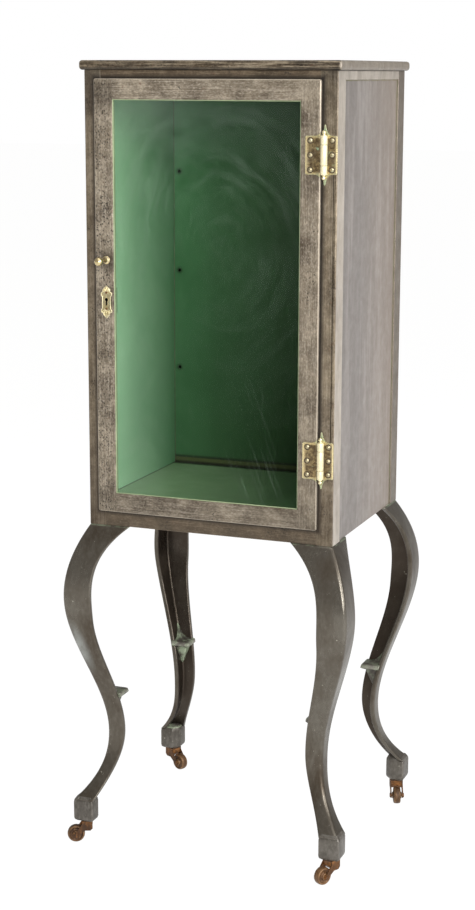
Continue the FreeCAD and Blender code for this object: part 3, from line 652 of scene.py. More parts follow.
@dataclass(frozen=True)
class CastIron:
    """Cast iron under worn graphite paint, with chips and old pale green paint at set heights.

    Each green band has a low height, a high height and a strength. A painted highlight on a worn patch of a
    front leg has its place along X and Z, its width and its height.
    """

    name: str
    base: str = "5d5851"
    dark: str = "3e3932"
    light: str = "918c84"
    chip: str = "b9b5a6"
    green: str = "a9b79a"
    hollow: str = "2c251e"
    bands: tuple[Triple, ...] = ()
    rough: float = 0.4
    metal: float = 0.45
    mottle: float = 0.3
    chipping: float = 0.0
    wear: float = 0.75
    hollowed: bool = False
    painted_gleam: Optional[tuple[float, float, float, float]] = None

    def painted_gleaming(self, s: Shader, colour: Socket) -> Socket:
        """Colour with the painted highlight on the worn patch, a leaning ellipse.

        Args:
            s: Shader to add to.
            colour: Colour to start from.

        Returns:
            Colour.
        """
        across, up, wide, tall = self.painted_gleam
        above = s.calc("DIVIDE", s.past("Z", up), tall)
        lean = s.total(s.calc("DIVIDE", s.past("X", across), wide), s.product(above, 0.8))
        patch = s.span(s.away(lean, above), 0.15, 1.0, 0.6, 0.0)
        brushed = s.span(s.noise(90, 6, 0.68, (1.0, 1.0, 0.4)), 0.34, 0.6, 0.5, 1.0)
        return s.tint(colour, s.product(patch, s.calc("LESS_THAN", s.axis("Y"), 0.0), brushed), "b4b8b5")

    def make(self) -> Material:
        """Build the material.

        Returns:
            Satin iron with chips, dark hollow sides and green bands.
        """
        s = Shader(self.name)
        cloud = s.span(s.noise(15, 6, 0.6, (1, 1, 0.5), 0.4), 0.34, 0.66)
        colour = s.mix(cloud, srgb(self.dark), srgb(self.base))
        sheen = s.noise(190, 6, 0.66, (1, 1, 0.45))
        colour = s.tint(colour, s.span(sheen, 0.5, 0.72, 0.0, self.mottle), self.light)
        colour = s.tint(colour, s.span(sheen, 0.5, 0.3, 0.0, self.mottle), self.hollow)
        if self.hollowed:
            inner = s.node("Attribute")
            inner.attribute_name = "hollow"
            smoky = s.span(s.noise(26, 6, 0.66), 0.3, 0.66, 1.0, 0.7)
            colour = s.tint(colour, s.product(inner.outputs["Fac"], smoky), self.hollow)
        if self.painted_gleam:
            colour = self.painted_gleaming(s, colour)
        worn = s.span(s.edges(), 0.515, 0.58, 0.0, self.wear)
        flaked = s.span(s.noise(70, 6, 0.66), 0.36, 0.56, 0.25, 1.0)
        colour = s.tint(colour, s.product(worn, flaked), self.light)
        chips = s.span(s.noise(120, 7, 0.68), 0.685 - 0.03 * self.chipping, 0.70 - 0.03 * self.chipping)
        colour = s.tint(colour, s.product(chips, 0.75), self.chip)
        height = s.axis("Z")
        patchy = s.span(s.noise(48, 6, 0.65), 0.42, 0.56)
        for low, high, strength in self.bands:
            over, under = s.calc("GREATER_THAN", height, low), s.calc("LESS_THAN", height, high)
            colour = s.tint(colour, s.product(over, under, patchy, strength), self.green)
        s.bump(s.total(s.noise(340, 5, 0.65), s.product(s.noise(40, 3, 0.5), 1.2)), 0.16, 0.0006)
        return s.finish(colour, s.span(cloud, 0, 1, self.rough + 0.1, self.rough - 0.06), self.metal)


@dataclass(frozen=True)
class HazyGlass:
    """Clear sheet with a faint film of wiping arcs, scratches and haze."""

    name: str
    tint: str = "f2f7f2"
    haze: str = "bccdc0"

    @staticmethod
    def drawn(s: Shader, across: Socket, along: Socket, seed: float, kind: Triple) -> Socket:
        """Noise on a plane of its own.

        Args:
            s: Shader to add to.
            across: Place across the marks.
            along: Place along the marks, already stretched.
            seed: Third coordinate, which makes one set of marks differ from another.
            kind: Scale, octaves and roughness of the noise.

        Returns:
            Value between about zero and one.
        """
        place = s.node("CombineXYZ", {0: across, 1: along, 2: seed}).outputs[0]
        scale, detail, rough = kind
        inputs = {"Vector": place, "Scale": scale, "Detail": detail, "Roughness": rough}
        return s.node("TexNoise", inputs).outputs["Fac"]

    def wiping(self, s: Shader, middle: tuple[float, float], seed: float) -> Socket:
        """Marks of a cloth wiped round a point of the pane.

        Noise is read at the distance from the point and, much stretched, at the angle round it.

        Args:
            s: Shader to add to.
            middle: Centre along X and Z in metres.
            seed: What makes one set of marks differ from another.

        Returns:
            One on a mark, zero between marks.
        """
        across = s.past("X", middle[0])
        up = s.product(s.past("Z", middle[1]), 0.75)
        away = s.total(s.away(across, up), s.product(s.noise(6, 3, 0.6), 0.06))
        angle = s.product(s.calc("ARCTAN2", up, across), 0.012)
        return s.span(self.drawn(s, away, angle, seed, (90.0, 5.0, 0.62)), 0.42, 0.8)

    def scored(self, s: Shader, lean: float) -> Socket:
        """Fine straight scratches that lean from the upright.

        Noise is read at the place across the lean and, much stretched, at the place along it.

        Args:
            s: Shader to add to.
            lean: Angle from the upright in radians.

        Returns:
            One on a scratch, zero between scratches.
        """
        rise, run = math.cos(lean), math.sin(lean)
        across = s.total(s.product(s.axis("X"), rise), s.product(s.axis("Z"), run))
        along = s.calc("SUBTRACT", s.product(s.axis("Z"), rise), s.product(s.axis("X"), run))
        return s.span(self.drawn(s, across, s.product(along, 0.028), 0.0, (210.0, 2.0, 0.5)), 0.6, 0.75)

    def veil(self, s: Shader) -> Socket:
        """Share of the film: smears and arcs above, scratches low on the right, haze on the left and above.

        Args:
            s: Shader to add to.

        Returns:
            Share between zero and about a tenth.
        """
        smear = s.span(s.noise(9, 6, 0.6, (1.0, 1.0, 0.5), 1.2), 0.48, 0.8, 0.0, 0.01)
        patch = s.span(s.noise(8, 4, 0.6), 0.4, 0.62, 0.1, 1.0)
        upper = s.span(s.axis("Z"), 0.85, 1.2, 0.12, 1.0)
        second = s.product(self.wiping(s, (-0.12, 0.96), 0.7), 0.5)
        marks = s.calc("MAXIMUM", self.wiping(s, (0.03, 1.08), 0.1), second)
        arcs = s.product(marks, 0.048, s.product(patch, upper))
        scratch = s.span(s.noise(260, 2, 0.5, (1.0, 1.0, 0.05), 0.2), 0.7, 0.78, 0.0, 0.02)
        low_right = s.product(s.span(s.axis("X"), -0.06, 0.06), s.span(s.axis("Z"), 0.9, 0.74))
        scores = s.product(self.scored(s, 0.38), low_right, 0.03)
        breath = s.product(s.span(s.axis("X"), -0.06, -0.165), s.span(s.axis("Z"), 1.25, 0.7, 0.012, 0.055))
        streaks = s.span(s.noise(14, 5, 0.6, (0.35, 1.0, 1.0), 0.6), 0.3, 0.65, 0.25, 1.0)
        brow = s.product(s.span(s.axis("Z"), 1.23, 1.32, 0.0, 0.045), streaks,
                         s.span(s.axis("X"), 0.0, 0.09, 1.0, 0.45))
        return s.total(s.product(smear, upper), arcs, scratch, brow, s.total(scores, breath))

    def make(self) -> Material:
        """Build the material.

        Returns:
            Transparent sheet mixed with a little haze.
        """
        s = Shader(self.name)
        clear = s.node("BsdfTransparent", {"Color": srgb(self.tint)})
        film = s.node("BsdfDiffuse", {"Color": srgb(self.haze)})
        s.show(s.node("MixShader", {0: self.veil(s), 1: clear.outputs[0], 2: film.outputs[0]}))
        s.tree.nodes.remove(s.main)
        return s.material


class Finishes:
    """Every material of the cabinet, made once."""

    def __init__(self) -> None:
        """Build the materials."""
        self.make_frame_steels()
        self.make_sheets()
        self.make_door()
        self.make_paints()
        self.make_brasses()
        self.make_irons()
        self.glass = HazyGlass("hazy_glass").make()

    @staticmethod
    def wall() -> dict[str, object]:
        """Paint on the inner side walls, with painted shade that darkens it towards the back."""
        shades = (("Y", -0.06, 0.185, 0.0, 0.75, "356a3e"), ("Y", 0.07, 0.187, 0.0, 0.2, "24472a"))
        return {"paint": ("b4dcb8", "9fcea7", "c6e4c8"), "shades": shades}

    def make_frame_steels(self) -> None:
        """Make the worn steel of the rails, posts and lid."""
        worn = {"pits": 0.9, "rusting": 0.8, "metal": 0.45, "brush_share": 0.38, "grain": 0.3, "blotch": 0.45}
        self.front = Patina("front_patina", "645543", "35291b", "968771", level=True, soot_and_shade=(0.632, 0.6, 0.55),
                            door_shadow_and_dirt=True, **worn).make()
        low_dark = ("Z", 0.8, 0.62, 0.0, 0.5, "382c20")
        left_dark = ("X", -0.2, -0.215, 0.0, 0.25, "382c20")
        self.post = Patina("post_patina", "857863", "453928", "aea18f", flank=(0.2247, "c9c0b5"),
                           soot_and_shade=(1.27, 1.385, 0.75), door_shadow_and_dirt=True, tones=(low_dark, left_dark),
                           paint_within=(0.2225, 0.1875), **worn).make()
        self.rear_post = Patina("rear_post_patina", "82766a", "4d4136", "ada294", flank=(0.2247, "6c645a"),
                                paint_within=(0.2225, 0.1863), **self.wall(), **worn).make()
        lid = {**worn, "brush_share": 0.65, "brush_reach": 0.12, "stain": 40.0,
               "stain_stretch": (0.4, 1.0, 1.0)}
        # Painted shadow: the lid darkens along its lowest few millimetres, as a shadow line beneath it.
        self.top = Patina("top_patina", "574937", "20170d", "a2957f", level=True, flank=(0.2295, "a1988d"),
                          soot_and_shade=(1.3855, 1.3825, 0.9), **lid).make()
        self.screw = Patina("screw_steel", "a7a097", "6d655b", "d3cdc3", pits=0.3, rusting=0.3, metal=0.8,
                            rough=0.32, grain=0.15).make()

    def make_sheets(self) -> None:
        """Make the side and back sheets, bare outside and painted inside."""
        sheet = {"pits": 0.2, "rusting": 0.2, "metal": 0.3, "squeeze": 0.07, "brush_reach": 0.085,
                 "brush_scale": 46.0, "stain": 26.0, "stain_stretch": (1.0, 1.0, 0.35), "grain": 0.2,
                 "relief": 0.1, "smear": 0.45, "blotch_stretch": (0.6, 0.6, 0.25)}
        tones = (("Y", -0.12, 0.06, 0.17, 0.0, "2b2a2c"), ("Y", -0.05, 0.13, 0.0, 0.38, "92806f"))
        self.side = Patina("side_steel", "605854", "38302c", "a19a95", paint_within=(0.2213, 0.3),
                           residue=True, soot_and_shade=(1.1, 0.62, 0.22), tones=tones, brush_share=0.64, blotch=0.5,
                           **self.wall(), **sheet).make()
        holes = tuple((x * MM, z * MM, 0.0085, 0.75) for x in HOLE_COLUMNS for z in HOLE_LEVELS)
        # Painted shade: the back darkens towards the right and lower down, with dark lines along the rear
        # rail.
        across = (("X", -0.215, -0.14, 0.47, 0.74, "213d1c"), ("X", -0.15, 0.0, 0.0, 0.62, "1e2f08"))
        down = (("Z", 1.2, 0.8, 0.0, 0.35, "14270a"), ("Z", 0.6515, 0.6475, 0.0, 0.8, "17130a"),
                ("Z", 0.6460, 0.6440, 0.0, 0.7, "53532f"), ("Z", 0.6395, 0.6365, 0.0, 0.85, "120e07"))
        self.back = Patina("back_steel", "776e6a", "574d48", "a19a95", paint_within=(0.3, 0.1863),
                           smudges=holes, paint=("6aa375", "548f61", "82b38a"), shades=across + down,
                           brush_share=0.4, blotch=0.2, **sheet).make()

    def make_door(self) -> None:
        """Make the door's brushed steel, smudged at the knob, the lock and the upper corner."""
        smudges = ((-0.18, 1.06, 0.026, 0.6), (-0.1845, 0.9913, 0.036, 0.3), (-0.19, 1.34, 0.04, 0.4))
        self.door = Patina("door_steel", "9e927f", "4b4033", "d4c9b7", pits=0.7, rusting=0.6, metal=0.5,
                           brush_share=0.4, grain=0.38, stain=16.0, soot_and_shade=(0.7, 0.63, 0.3), framed=True,
                           blotch=0.32, smudge="2a2119", tones=(("Z", 0.95, 0.66, 0.0, 0.16, "3d342a"),),
                           smudges=smudges).make()

    def make_paints(self) -> None:
        """Make the green paints of the jambs, floor, lock and beads."""
        self.paint = OldPaint("jade_paint", "69a878", "4c9160", "8fbf97").make()
        # Painted shade: the floor darkens towards the right. The dark bands at the back and by the left wall
        # are grimy, with painted shade in the corners.
        dirt_and_shade = (("X", -0.16, 0.07, 0.0, 0.78, "30482a"), ("Y", 0.166, 0.172, 0.0, 0.85, "12190e"),
                ("X", -0.2155, -0.2190, 0.0, 0.75, "1d1b10"))
        self.floor = OldPaint("floor_paint", "a3b697", "8ea584", "b9c7ae", 0.5, dirt_and_shade).make()
        self.lock = OldPaint("lock_paint", "7f9f83", "6b8a70", "98b39b").make()
        self.bead = OldPaint("bead_paint", "98a480", "7b8966", "b6bf9f").make()

    def make_brasses(self) -> None:
        """Make the brass of the hinges, knob and key plate."""
        self.brass = Brass("brass", "efe3ba", "a08a58", tarnishing=0.2, greening=0.0, relief=0.03,
                           rough=0.26).make()
        self.barrel = Brass("barrel_brass", "d0c193", "ab9868", "aeb68f", greening=0.7, tarnishing=0.3,
                            relief=0.0, rough=0.42, metal=0.4).make()
        self.knob = Brass("knob_brass", "d3bd88", "705a33", tarnishing=0.4, greening=0.0, relief=0.03,
                          rough=0.2).make()
        self.rim = Brass("rim_brass", "d8c894", "6b5a35", tarnishing=0.7, rough=0.34, metal=0.7).make()
        self.leaf = Brass("leaf_brass", "ae904f", "4a3a26", tarnishing=0.6, greening=0.1, metal=0.7,
                          hinged=True).make()
        self.fixing = Brass("screw_brass", "8c7b56", "43361f", tarnishing=0.6, greening=0.2, rough=0.3).make()
        self.plate = Brass("plate_brass", "b3a26c", "4c4028", tarnishing=0.7, greening=0.7, relief=0.5,
                           cloud=240.0).make()

    def make_irons(self) -> None:
        """Make the cast iron of the legs and casters, the grimy rings with painted shade at the screws, and
        the painted shade in the holes.
        """
        # Near-black painted shade inside the keyhole and the shelf holes.
        self.void = CastIron("painted_hole_shade", "0a0806", "060504", "0c0a08", "0c0a08", hollow="060504", metal=1.0,
                             rough=0.9).make()
        # Dark rings round the screw heads, partly grimy and partly painted shade.
        self.grime = CastIron("screw_grime", "3a2f1f", "241c12", "4a3d2a", "4a3d2a", metal=0.2,
                              rough=0.7).make()
        # A painted highlight on a worn patch of the front-left leg.
        self.iron = CastIron("leg_iron", "6b665d", "4c4338", hollow="382f27", hollowed=True,
                             painted_gleam=(-0.238, 0.372, 0.02, 0.06), bands=((0.5938, 0.597, 0.55),), rough=0.3,
                             metal=0.8, mottle=0.16, chipping=0.4, wear=0.4).make()
        ledge = {"dark": "3a342d", "chipping": 1.0}
        self.ledge = CastIron("ledge_iron", bands=((0.2, 0.32, 0.85),), **ledge).make()
        self.worn_ledge = CastIron("worn_ledge_iron", bands=((0.2, 0.32, 0.28),), **ledge).make()
        foot = {"base": "57524a", "dark": "3b362f", "light": "86817a", "chipping": 1.2, "mottle": 0.45}
        self.foot = CastIron("foot_iron", **foot).make()
        self.chipped_foot = CastIron("chipped_foot_iron", bands=((0.0865, 0.1, 0.85),), **foot).make()
        self.rust = CastIron("caster_rust", "613f20", "2a1a0e", "a06b39", "b18a58", metal=0.4, rough=0.45,
                             mottle=0.5).make()
        self.tread = CastIron("wheel_tread", "6e4d31", "352316", "a37e56", "b9a27e", metal=0.4, rough=0.45,
                              mottle=0.45).make()


def solid(x: np.ndarray, y: np.ndarray, z: np.ndarray) -> np.ndarray:
    """Grid of points from three coordinate arrays, each stretched to the common shape."""
    return np.stack(np.broadcast_arrays(x, y, z), axis=-1).astype(float)


def circle(steps: int) -> np.ndarray:
    """Angles of evenly spaced points on a circle."""
    return np.linspace(0, 2 * math.pi, steps, endpoint=False)


def stacked(*corners: tuple[np.ndarray, np.ndarray]) -> np.ndarray:
    """Plan outlines, rows by corners by two, from each corner's coordinates on all the rows."""
    return np.stack([np.stack(corner, 1) for corner in corners], 1)


def rounded_plan(corners: np.ndarray, radii: Sequence[float] | np.ndarray, steps: int) -> np.ndarray:
    """Closed plan outlines with each corner turned into a quadratic curve.

    The curve at a corner runs from a point one radius before it to one radius after it, with the corner
    itself as its control point.

    Args:
        corners: Array of rows by corners by two.
        radii: One radius for each corner, or a column of one for each row.
        steps: Points on each corner's curve.

    Returns:
        Array of rows by points by two.
    """
    before = np.roll(corners, 1, axis=1) - corners
    after = np.roll(corners, -1, axis=1) - corners
    size = np.broadcast_to(np.asarray(radii, float), corners.shape[:2])[..., None]
    start = (corners + before / np.linalg.norm(before, axis=2, keepdims=True) * size)[:, :, None]
    end = (corners + after / np.linalg.norm(after, axis=2, keepdims=True) * size)[:, :, None]
    t = np.linspace(0, 1, steps)[None, None, :, None]
    curve = (1 - t) ** 2 * start + 2 * t * (1 - t) * corners[:, :, None] + t ** 2 * end
    return curve.reshape(len(corners), -1, 2)


def ring_faces(points: np.ndarray, closed: bool = False) -> Faces:
    """Faces between successive closed rings of points.

    Args:
        points: Rings by points by three.
        closed: Whether the last ring joins the first; otherwise both are filled.

    Returns:
        Vertex numbers of each face.
    """
    rows, count = points.shape[:2]
    i = np.arange(rows if closed else rows - 1)[:, None]
    j = np.arange(count)[None, :]
    following, turn = (i + 1) % rows, (j + 1) % count
    quads = [i * count + j, i * count + turn, following * count + turn, following * count + j]
    faces = np.stack(quads, axis=2).reshape(-1, 4).tolist()
    if not closed:
        faces.append(list(range(count - 1, -1, -1)))
        faces.append(list(range((rows - 1) * count, rows * count)))
    return faces


def flipped(faces: Faces) -> Faces:
    """Faces turned to point the other way."""
    return [face[::-1] for face in faces]


def discs(places: np.ndarray, depths: Sequence[float], radius: float, steps: int) -> tuple[np.ndarray, Faces]:
    """Flat discs that face the front: at each place a circle in X and Z, drawn from a rear to a front depth.

    Args:
        places: Array of discs by two, along X and Z.
        depths: Rear and front place along Y.
        radius: Radius of each disc.
        steps: Points on each circle.

    Returns:
        Points and faces of all the discs.
    """
    turn = circle(steps)
    x = places[:, None, None, 0] + np.cos(turn) * radius
    z = places[:, None, None, 1] + np.sin(turn) * radius
    points = solid(x, np.asarray(depths)[None, :, None], z)
    first = ring_faces(points[0])
    faces = [[v + 2 * steps * k for v in face] for k in range(len(places)) for face in first]
    return points, faces


def slab(outline: np.ndarray, depths: Sequence[float]) -> np.ndarray:
    """Points of a flat plate: an outline in X and Z, drawn from a rear to a front depth along Y."""
    return solid(outline[None, :, 0], np.asarray(depths)[:, None], outline[None, :, 1])


class Kit:
    """Adds pieces to the scene and dresses the CAD nodes that are carried over."""

    bevel_steps: int = 3
    bevel_from: float = math.radians(40)
    weld_gap: float = 0.00001
    turned_steps: int = 48

    def __init__(self) -> None:
        """Start with no pieces."""
        self.made: list[str] = []

    def add(self, name: str, points: np.ndarray, faces: Faces, body: str, slot: Slot, material: Material,
            replaces: Sequence[str] = (), bevel: float = 0.0, flat: bool = False) -> bpy.types.Object:
        """Make one mesh piece from millimetre points.

        Args:
            name: Piece name.
            points: Array of points by three in millimetres.
            faces: Vertex numbers of each face.
            body: Body that the piece rides on.
            slot: Material slot of the record; not used.
            material: Finish.
            replaces: CAD nodes that it stands for.
            bevel: Width of an edge bevel in millimetres, or zero.
            flat: Whether faces stay flat-shaded.

        Returns:
            The new object.
        """
        mesh = bpy.data.meshes.new(name)
        mesh.from_pydata((points.reshape(-1, 3) * MM).tolist(), [], faces)
        mesh.update()
        mesh.polygons.foreach_set("use_smooth", [not flat] * len(mesh.polygons))
        thing = bpy.data.objects.new(name, mesh)
        bpy.context.scene.collection.objects.link(thing)
        thing.data.materials.append(material)
        if bevel:
            self.bevel(thing, bevel)
        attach(thing, body)
        if replaces:
            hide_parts(*replaces)
        self.made.append(name)
        return thing

    def bevel(self, thing: bpy.types.Object, width: float) -> None:
        """Round the sharp edges of a piece.

        Args:
            thing: Piece.
            width: Width in millimetres.
        """
        soft = thing.modifiers.new("edge", "BEVEL")
        soft.width = width * MM
        soft.segments = self.bevel_steps
        soft.limit_method = "ANGLE"
        soft.angle_limit = self.bevel_from
        soft.harden_normals = False

    def dress(self, nodes: Sequence[str], material: Material, bevel: float = 0.0) -> None:
        """Give CAD nodes a finish, with merged and softened edges.

        Args:
            nodes: CAD node names.
            material: Finish.
            bevel: Width of an edge bevel in millimetres, or zero.
        """
        for name in nodes:
            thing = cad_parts[name]
            thing.data.materials.clear()
            thing.data.materials.append(material)
            if bevel:
                weld = thing.modifiers.new("merge", "WELD")
                weld.merge_threshold = self.weld_gap
                self.bevel(thing, bevel)

    def lathe(self, name: str, profile: Outline, origin: Sequence[float], axis: Sequence[float], body: str,
              slot: Slot, material: Material, replaces: Sequence[str] = (), hollow: bool = False) -> None:
        """Turn a profile about an axis into a closed piece.

        Each profile point is a distance along the axis and a radius; it sweeps a circle round the axis. The
        first and last circles are filled, or joined to each other in a hollow piece.

        Args:
            name: Piece name.
            profile: Distances along the axis with radii, in millimetres.
            origin: Point on the axis.
            axis: Direction of the axis.
            body: Body that the piece rides on.
            slot: Material slot.
            material: Finish.
            replaces: CAD nodes that it stands for.
            hollow: Whether the piece has a bore.
        """
        along = np.asarray(axis, float) / np.linalg.norm(axis)
        other = np.cross(along, (0.0, 0.0, 1.0) if abs(along[2]) < 0.9 else (1.0, 0.0, 0.0))
        other /= np.linalg.norm(other)
        angle = circle(self.turned_steps)[:, None]
        ring = np.cos(angle) * other + np.sin(angle) * np.cross(along, other)
        table = np.asarray(profile, float)[:, :, None, None]
        points = np.asarray(origin, float) + table[:, 0] * along + table[:, 1] * ring
        self.add(name, points, ring_faces(points, hollow), body, slot, material, replaces)


@dataclass
class Assembly:
    """A group of pieces, with the tools that make and finish them."""

    kit: Kit
    looks: Finishes


@dataclass
class Shell(Assembly):
    """Body of the cabinet: posts, rails, sheets and lid."""

    edge: float = 0.8
    hole_radius: float = 2.95
    hole_depths: tuple[float, float] = (186.9, 186.3)

    def dress(self) -> None:
        """Finish the carried-over nodes."""
        kit, looks = self.kit, self.looks
        kit.dress(["top_board"], looks.top)
        kit.dress(["front_left_post", "front_right_post"], looks.post, self.edge)
        kit.dress(["rear_left_post", "rear_right_post"], looks.rear_post, self.edge)
        kit.dress(["front_top_rail", "front_bottom_rail"], looks.front, self.edge)
        kit.dress(["left_side_top_rail", "right_side_top_rail"], looks.post, self.edge)
        kit.dress(["left_side_panel", "right_side_panel"], looks.side)
        kit.dress(["back_panel"], looks.back)
        kit.dress(["cabinet_floor", "base_sheet", "rear_bottom_rail"], looks.floor)
        kit.dress(["left_jamb", "right_jamb"], looks.paint)
        kit.dress(["leg_bolts", "leg_nuts"], looks.rust)

    def build(self) -> None:
        """Make painted shade in the shelf holes: near-black flat discs inside each hole of the back sheet."""
        places = np.array([(x, z) for x in HOLE_COLUMNS for z in HOLE_LEVELS])
        points, faces = discs(places, self.hole_depths, self.hole_radius, 24)
        self.kit.add("shelf_hole_shade", points, faces, Body.CABINET.value, Slot.PAINT, self.looks.void,
                     flat=True)


@dataclass
class Door(Assembly):
    """Overlapping door frame with its glass, putty, knob and lock."""

    face: float = 34.0
    front: float = -196.5
    plate_back: float = -190.5
    box_back: float = -176.5
    box: tuple[float, float, float, float] = (-193.0, 193.0, 637.0, 1348.0)
    rebate: float = 8.0
    glass_front: float = -194.0
    corner_radius: float = 4.0
    flat_radius: float = 2.0
    inner_radius: float = 0.3
    knob_x: float = -184.5
    knob_z: float = 1062.75
    ball_reach: float = 30.0
    ball_radius: float = 7.6
    key_z: float = 995.25
    lock_z: float = 991.25
    plate_width: float = 21.0
    plate_height: float = 57.0
    plate_thick: float = 1.6
    rim_inset: tuple[float, float] = (0.9, 1.1)
    rim_width: float = 0.75
    rim_height: float = 0.6
    fan_spread: float = 1.15
    fan_start: float = 2.6
    eye_radius: float = 3.2
    slot_half: float = 1.6
    slot_drop: float = 9.6
    works_edge: float = 0.4
    plate_edge: float = 0.35
    screw_edge: float = 0.2

    @staticmethod
    def rings(rows: Sequence[Sequence[float]]) -> np.ndarray:
        """Rounded rectangles that follow one another round the frame's section.

        Args:
            rows: Left, right, bottom, top, corner radius and depth of each rectangle.

        Returns:
            Array of rectangles by points by three.
        """
        x0, x1, z0, z1, radius, depth = np.asarray(rows, float).T
        plan = rounded_plan(stacked((x0, z0), (x1, z0), (x1, z1), (x0, z1)), radius[:, None], 6)
        return solid(plan[..., 0], depth[:, None], plan[..., 1])

    @staticmethod
    def inset(amount: float, radius: float, depth: float) -> list[float]:
        """Row for rings: the door's outer rectangle set in by an amount, with a corner radius and a depth."""
        low, high = (DOOR_LEFT + amount, DOOR_BOTTOM + amount), (DOOR_RIGHT - amount, DOOR_TOP - amount)
        return [low[0], high[0], low[1], high[1], radius, depth]

    def build(self) -> None:
        """Make the frame, putty, knob, the keyhole's painted shade and the key plate relief."""
        self.build_frame()
        self.build_putty()
        self.build_knob()
        self.build_keyhole()
        self.build_plate_rim()
        self.build_plate_fans()

    def build_frame(self) -> None:
        """Make the frame, whose section runs from the rounded front edge to the glass seat and back."""
        small, front, back, glass = self.inner_radius, self.front, self.plate_back, self.glass_front
        sight, seat = self.face, self.face - self.rebate
        edge = ((0, back), (0, front + 1.8), (0.25, front + 0.9), (0.9, front + 0.25), (1.8, front))
        flat = ((8, front), (sight - 8, front))
        inner = ((sight - 1, front), (sight - 0.3, front + 0.3), (sight, front + 1), (sight, glass),
                 (seat, glass), (seat, self.box_back))
        groups = ((self.corner_radius, edge), (self.flat_radius, flat), (small, inner))
        rows = [self.inset(amount, radius, depth) for radius, group in groups for amount, depth in group]
        rows += [[*self.box, small, self.box_back], [*self.box, small, back]]
        points = self.rings(rows)
        nodes = ["door_left_stile", "door_right_stile", "door_top_rail", "door_bottom_rail"]
        self.kit.add("door_frame", points, ring_faces(points, True), Body.DOOR.value, Slot.DOOR,
                     self.looks.door, nodes)

    def build_putty(self) -> None:
        """Make the line of putty round the glass, with a small rounded section."""
        sight, glass = self.face, self.glass_front
        section = ((sight, glass), (sight, self.front + 1.2), (sight + 0.5, self.front + 1.4),
                   (sight + 1.3, glass - 0.4), (sight + 1.5, glass))
        points = self.rings([self.inset(amount, self.inner_radius, depth) for amount, depth in section])
        self.kit.add("glazing_putty", points, ring_faces(points, True), Body.DOOR.value, Slot.BEAD,
                     self.looks.bead)

    def build_plate_fans(self) -> None:
        """Make the ribbed fans raised round both pins of the key plate.

        A closed section is swept through an angle round each pin. It runs out along the radius, and its
        height is a sine along the radius times a cosine wave round the fan, so that the fan has five ribs.
        """
        turn = np.linspace(-self.fan_spread, self.fan_spread, 61)[:, None]
        share = np.linspace(0, 1, 9)[None, :]
        rise = (0.5 + 0.4 * np.cos(4 * math.pi / self.fan_spread * turn)) * np.sin(math.pi * share)
        y = self.front - self.plate_thick - np.concatenate([rise, np.full((len(turn), 2), -0.2)], 1)
        # Direction, pin above the lock's middle, reach in the middle, and how much shorter the sides are
        fans = {"upper": (1, 16.0, 10.0, 4.0), "lower": (-1, -11.5, 14.0, 7.0)}
        for label, (sign, pin, reach, shorter) in fans.items():
            end = reach - shorter * np.abs(np.sin(turn))
            run = self.fan_start + (end - self.fan_start) * share
            away = np.concatenate([run, end, np.full_like(end, self.fan_start)], 1)
            z = self.lock_z + pin + sign * away * np.cos(turn)
            points = solid(self.knob_x + away * np.sin(turn), y, z)
            faces = ring_faces(points) if sign < 0 else flipped(ring_faces(points))
            self.kit.add(f"key_plate_{label}_fan", points, faces, Body.DOOR.value, Slot.BRASS, self.looks.rim)

    def build_plate_rim(self) -> None:
        """Make the raised rim of the key plate.

        A small round section is carried along the plate's outline, drawn in a little towards its middle: each
        point of the section is the outline's point moved along the outline's normal and along Y.
        """
        half = np.array([(0, 1), (0.38, 0.87), (0.72, 0.72), (0.6, 0.66), (1, 0.56), (1, 0.42), (0.8, 0.33),
                         (0.8, -0.4), (1, -0.52), (0.95, -0.63), (0.58, -0.7), (0.52, -0.8), (0, -1)])
        right = half * (self.plate_width / 2 - self.rim_inset[0], self.plate_height / 2 - self.rim_inset[1])
        path = np.concatenate([right, right[-2:0:-1] * (-1, 1)])
        step = np.roll(path, -1, axis=0) - np.roll(path, 1, axis=0)
        step /= np.linalg.norm(step, axis=1, keepdims=True)
        turn = circle(10)
        x = self.knob_x + path[:, None, 0] + self.rim_width * step[:, None, 1] * np.cos(turn)
        y = self.front - self.plate_thick + self.rim_height * np.sin(turn)
        z = self.lock_z + path[:, None, 1] - self.rim_width * step[:, None, 0] * np.cos(turn)
        points = solid(x, y, z)
        self.kit.add("key_plate_rim", points, ring_faces(points, True), Body.DOOR.value, Slot.BRASS,
                     self.looks.rim)

    def build_keyhole(self) -> None:
        """Make painted shade in the opening behind the key plate: a near-black sheet, a round eye over a
        flared slot.
        """
        turn = np.linspace(-0.36 * math.pi, 1.36 * math.pi, 25)
        eye = np.stack([self.eye_radius * np.cos(turn), self.eye_radius * np.sin(turn)], 1)
        slot = np.array([(-self.slot_half, -self.slot_drop), (self.slot_half, -self.slot_drop)])
        outline = np.concatenate([eye, slot]) + (self.knob_x, self.key_z)
        points = slab(outline, (self.front + 0.2, self.front - 0.25))
        self.kit.add("keyhole_shade", points, ring_faces(points), Body.DOOR.value, Slot.HARDWARE,
                     self.looks.void, flat=True)

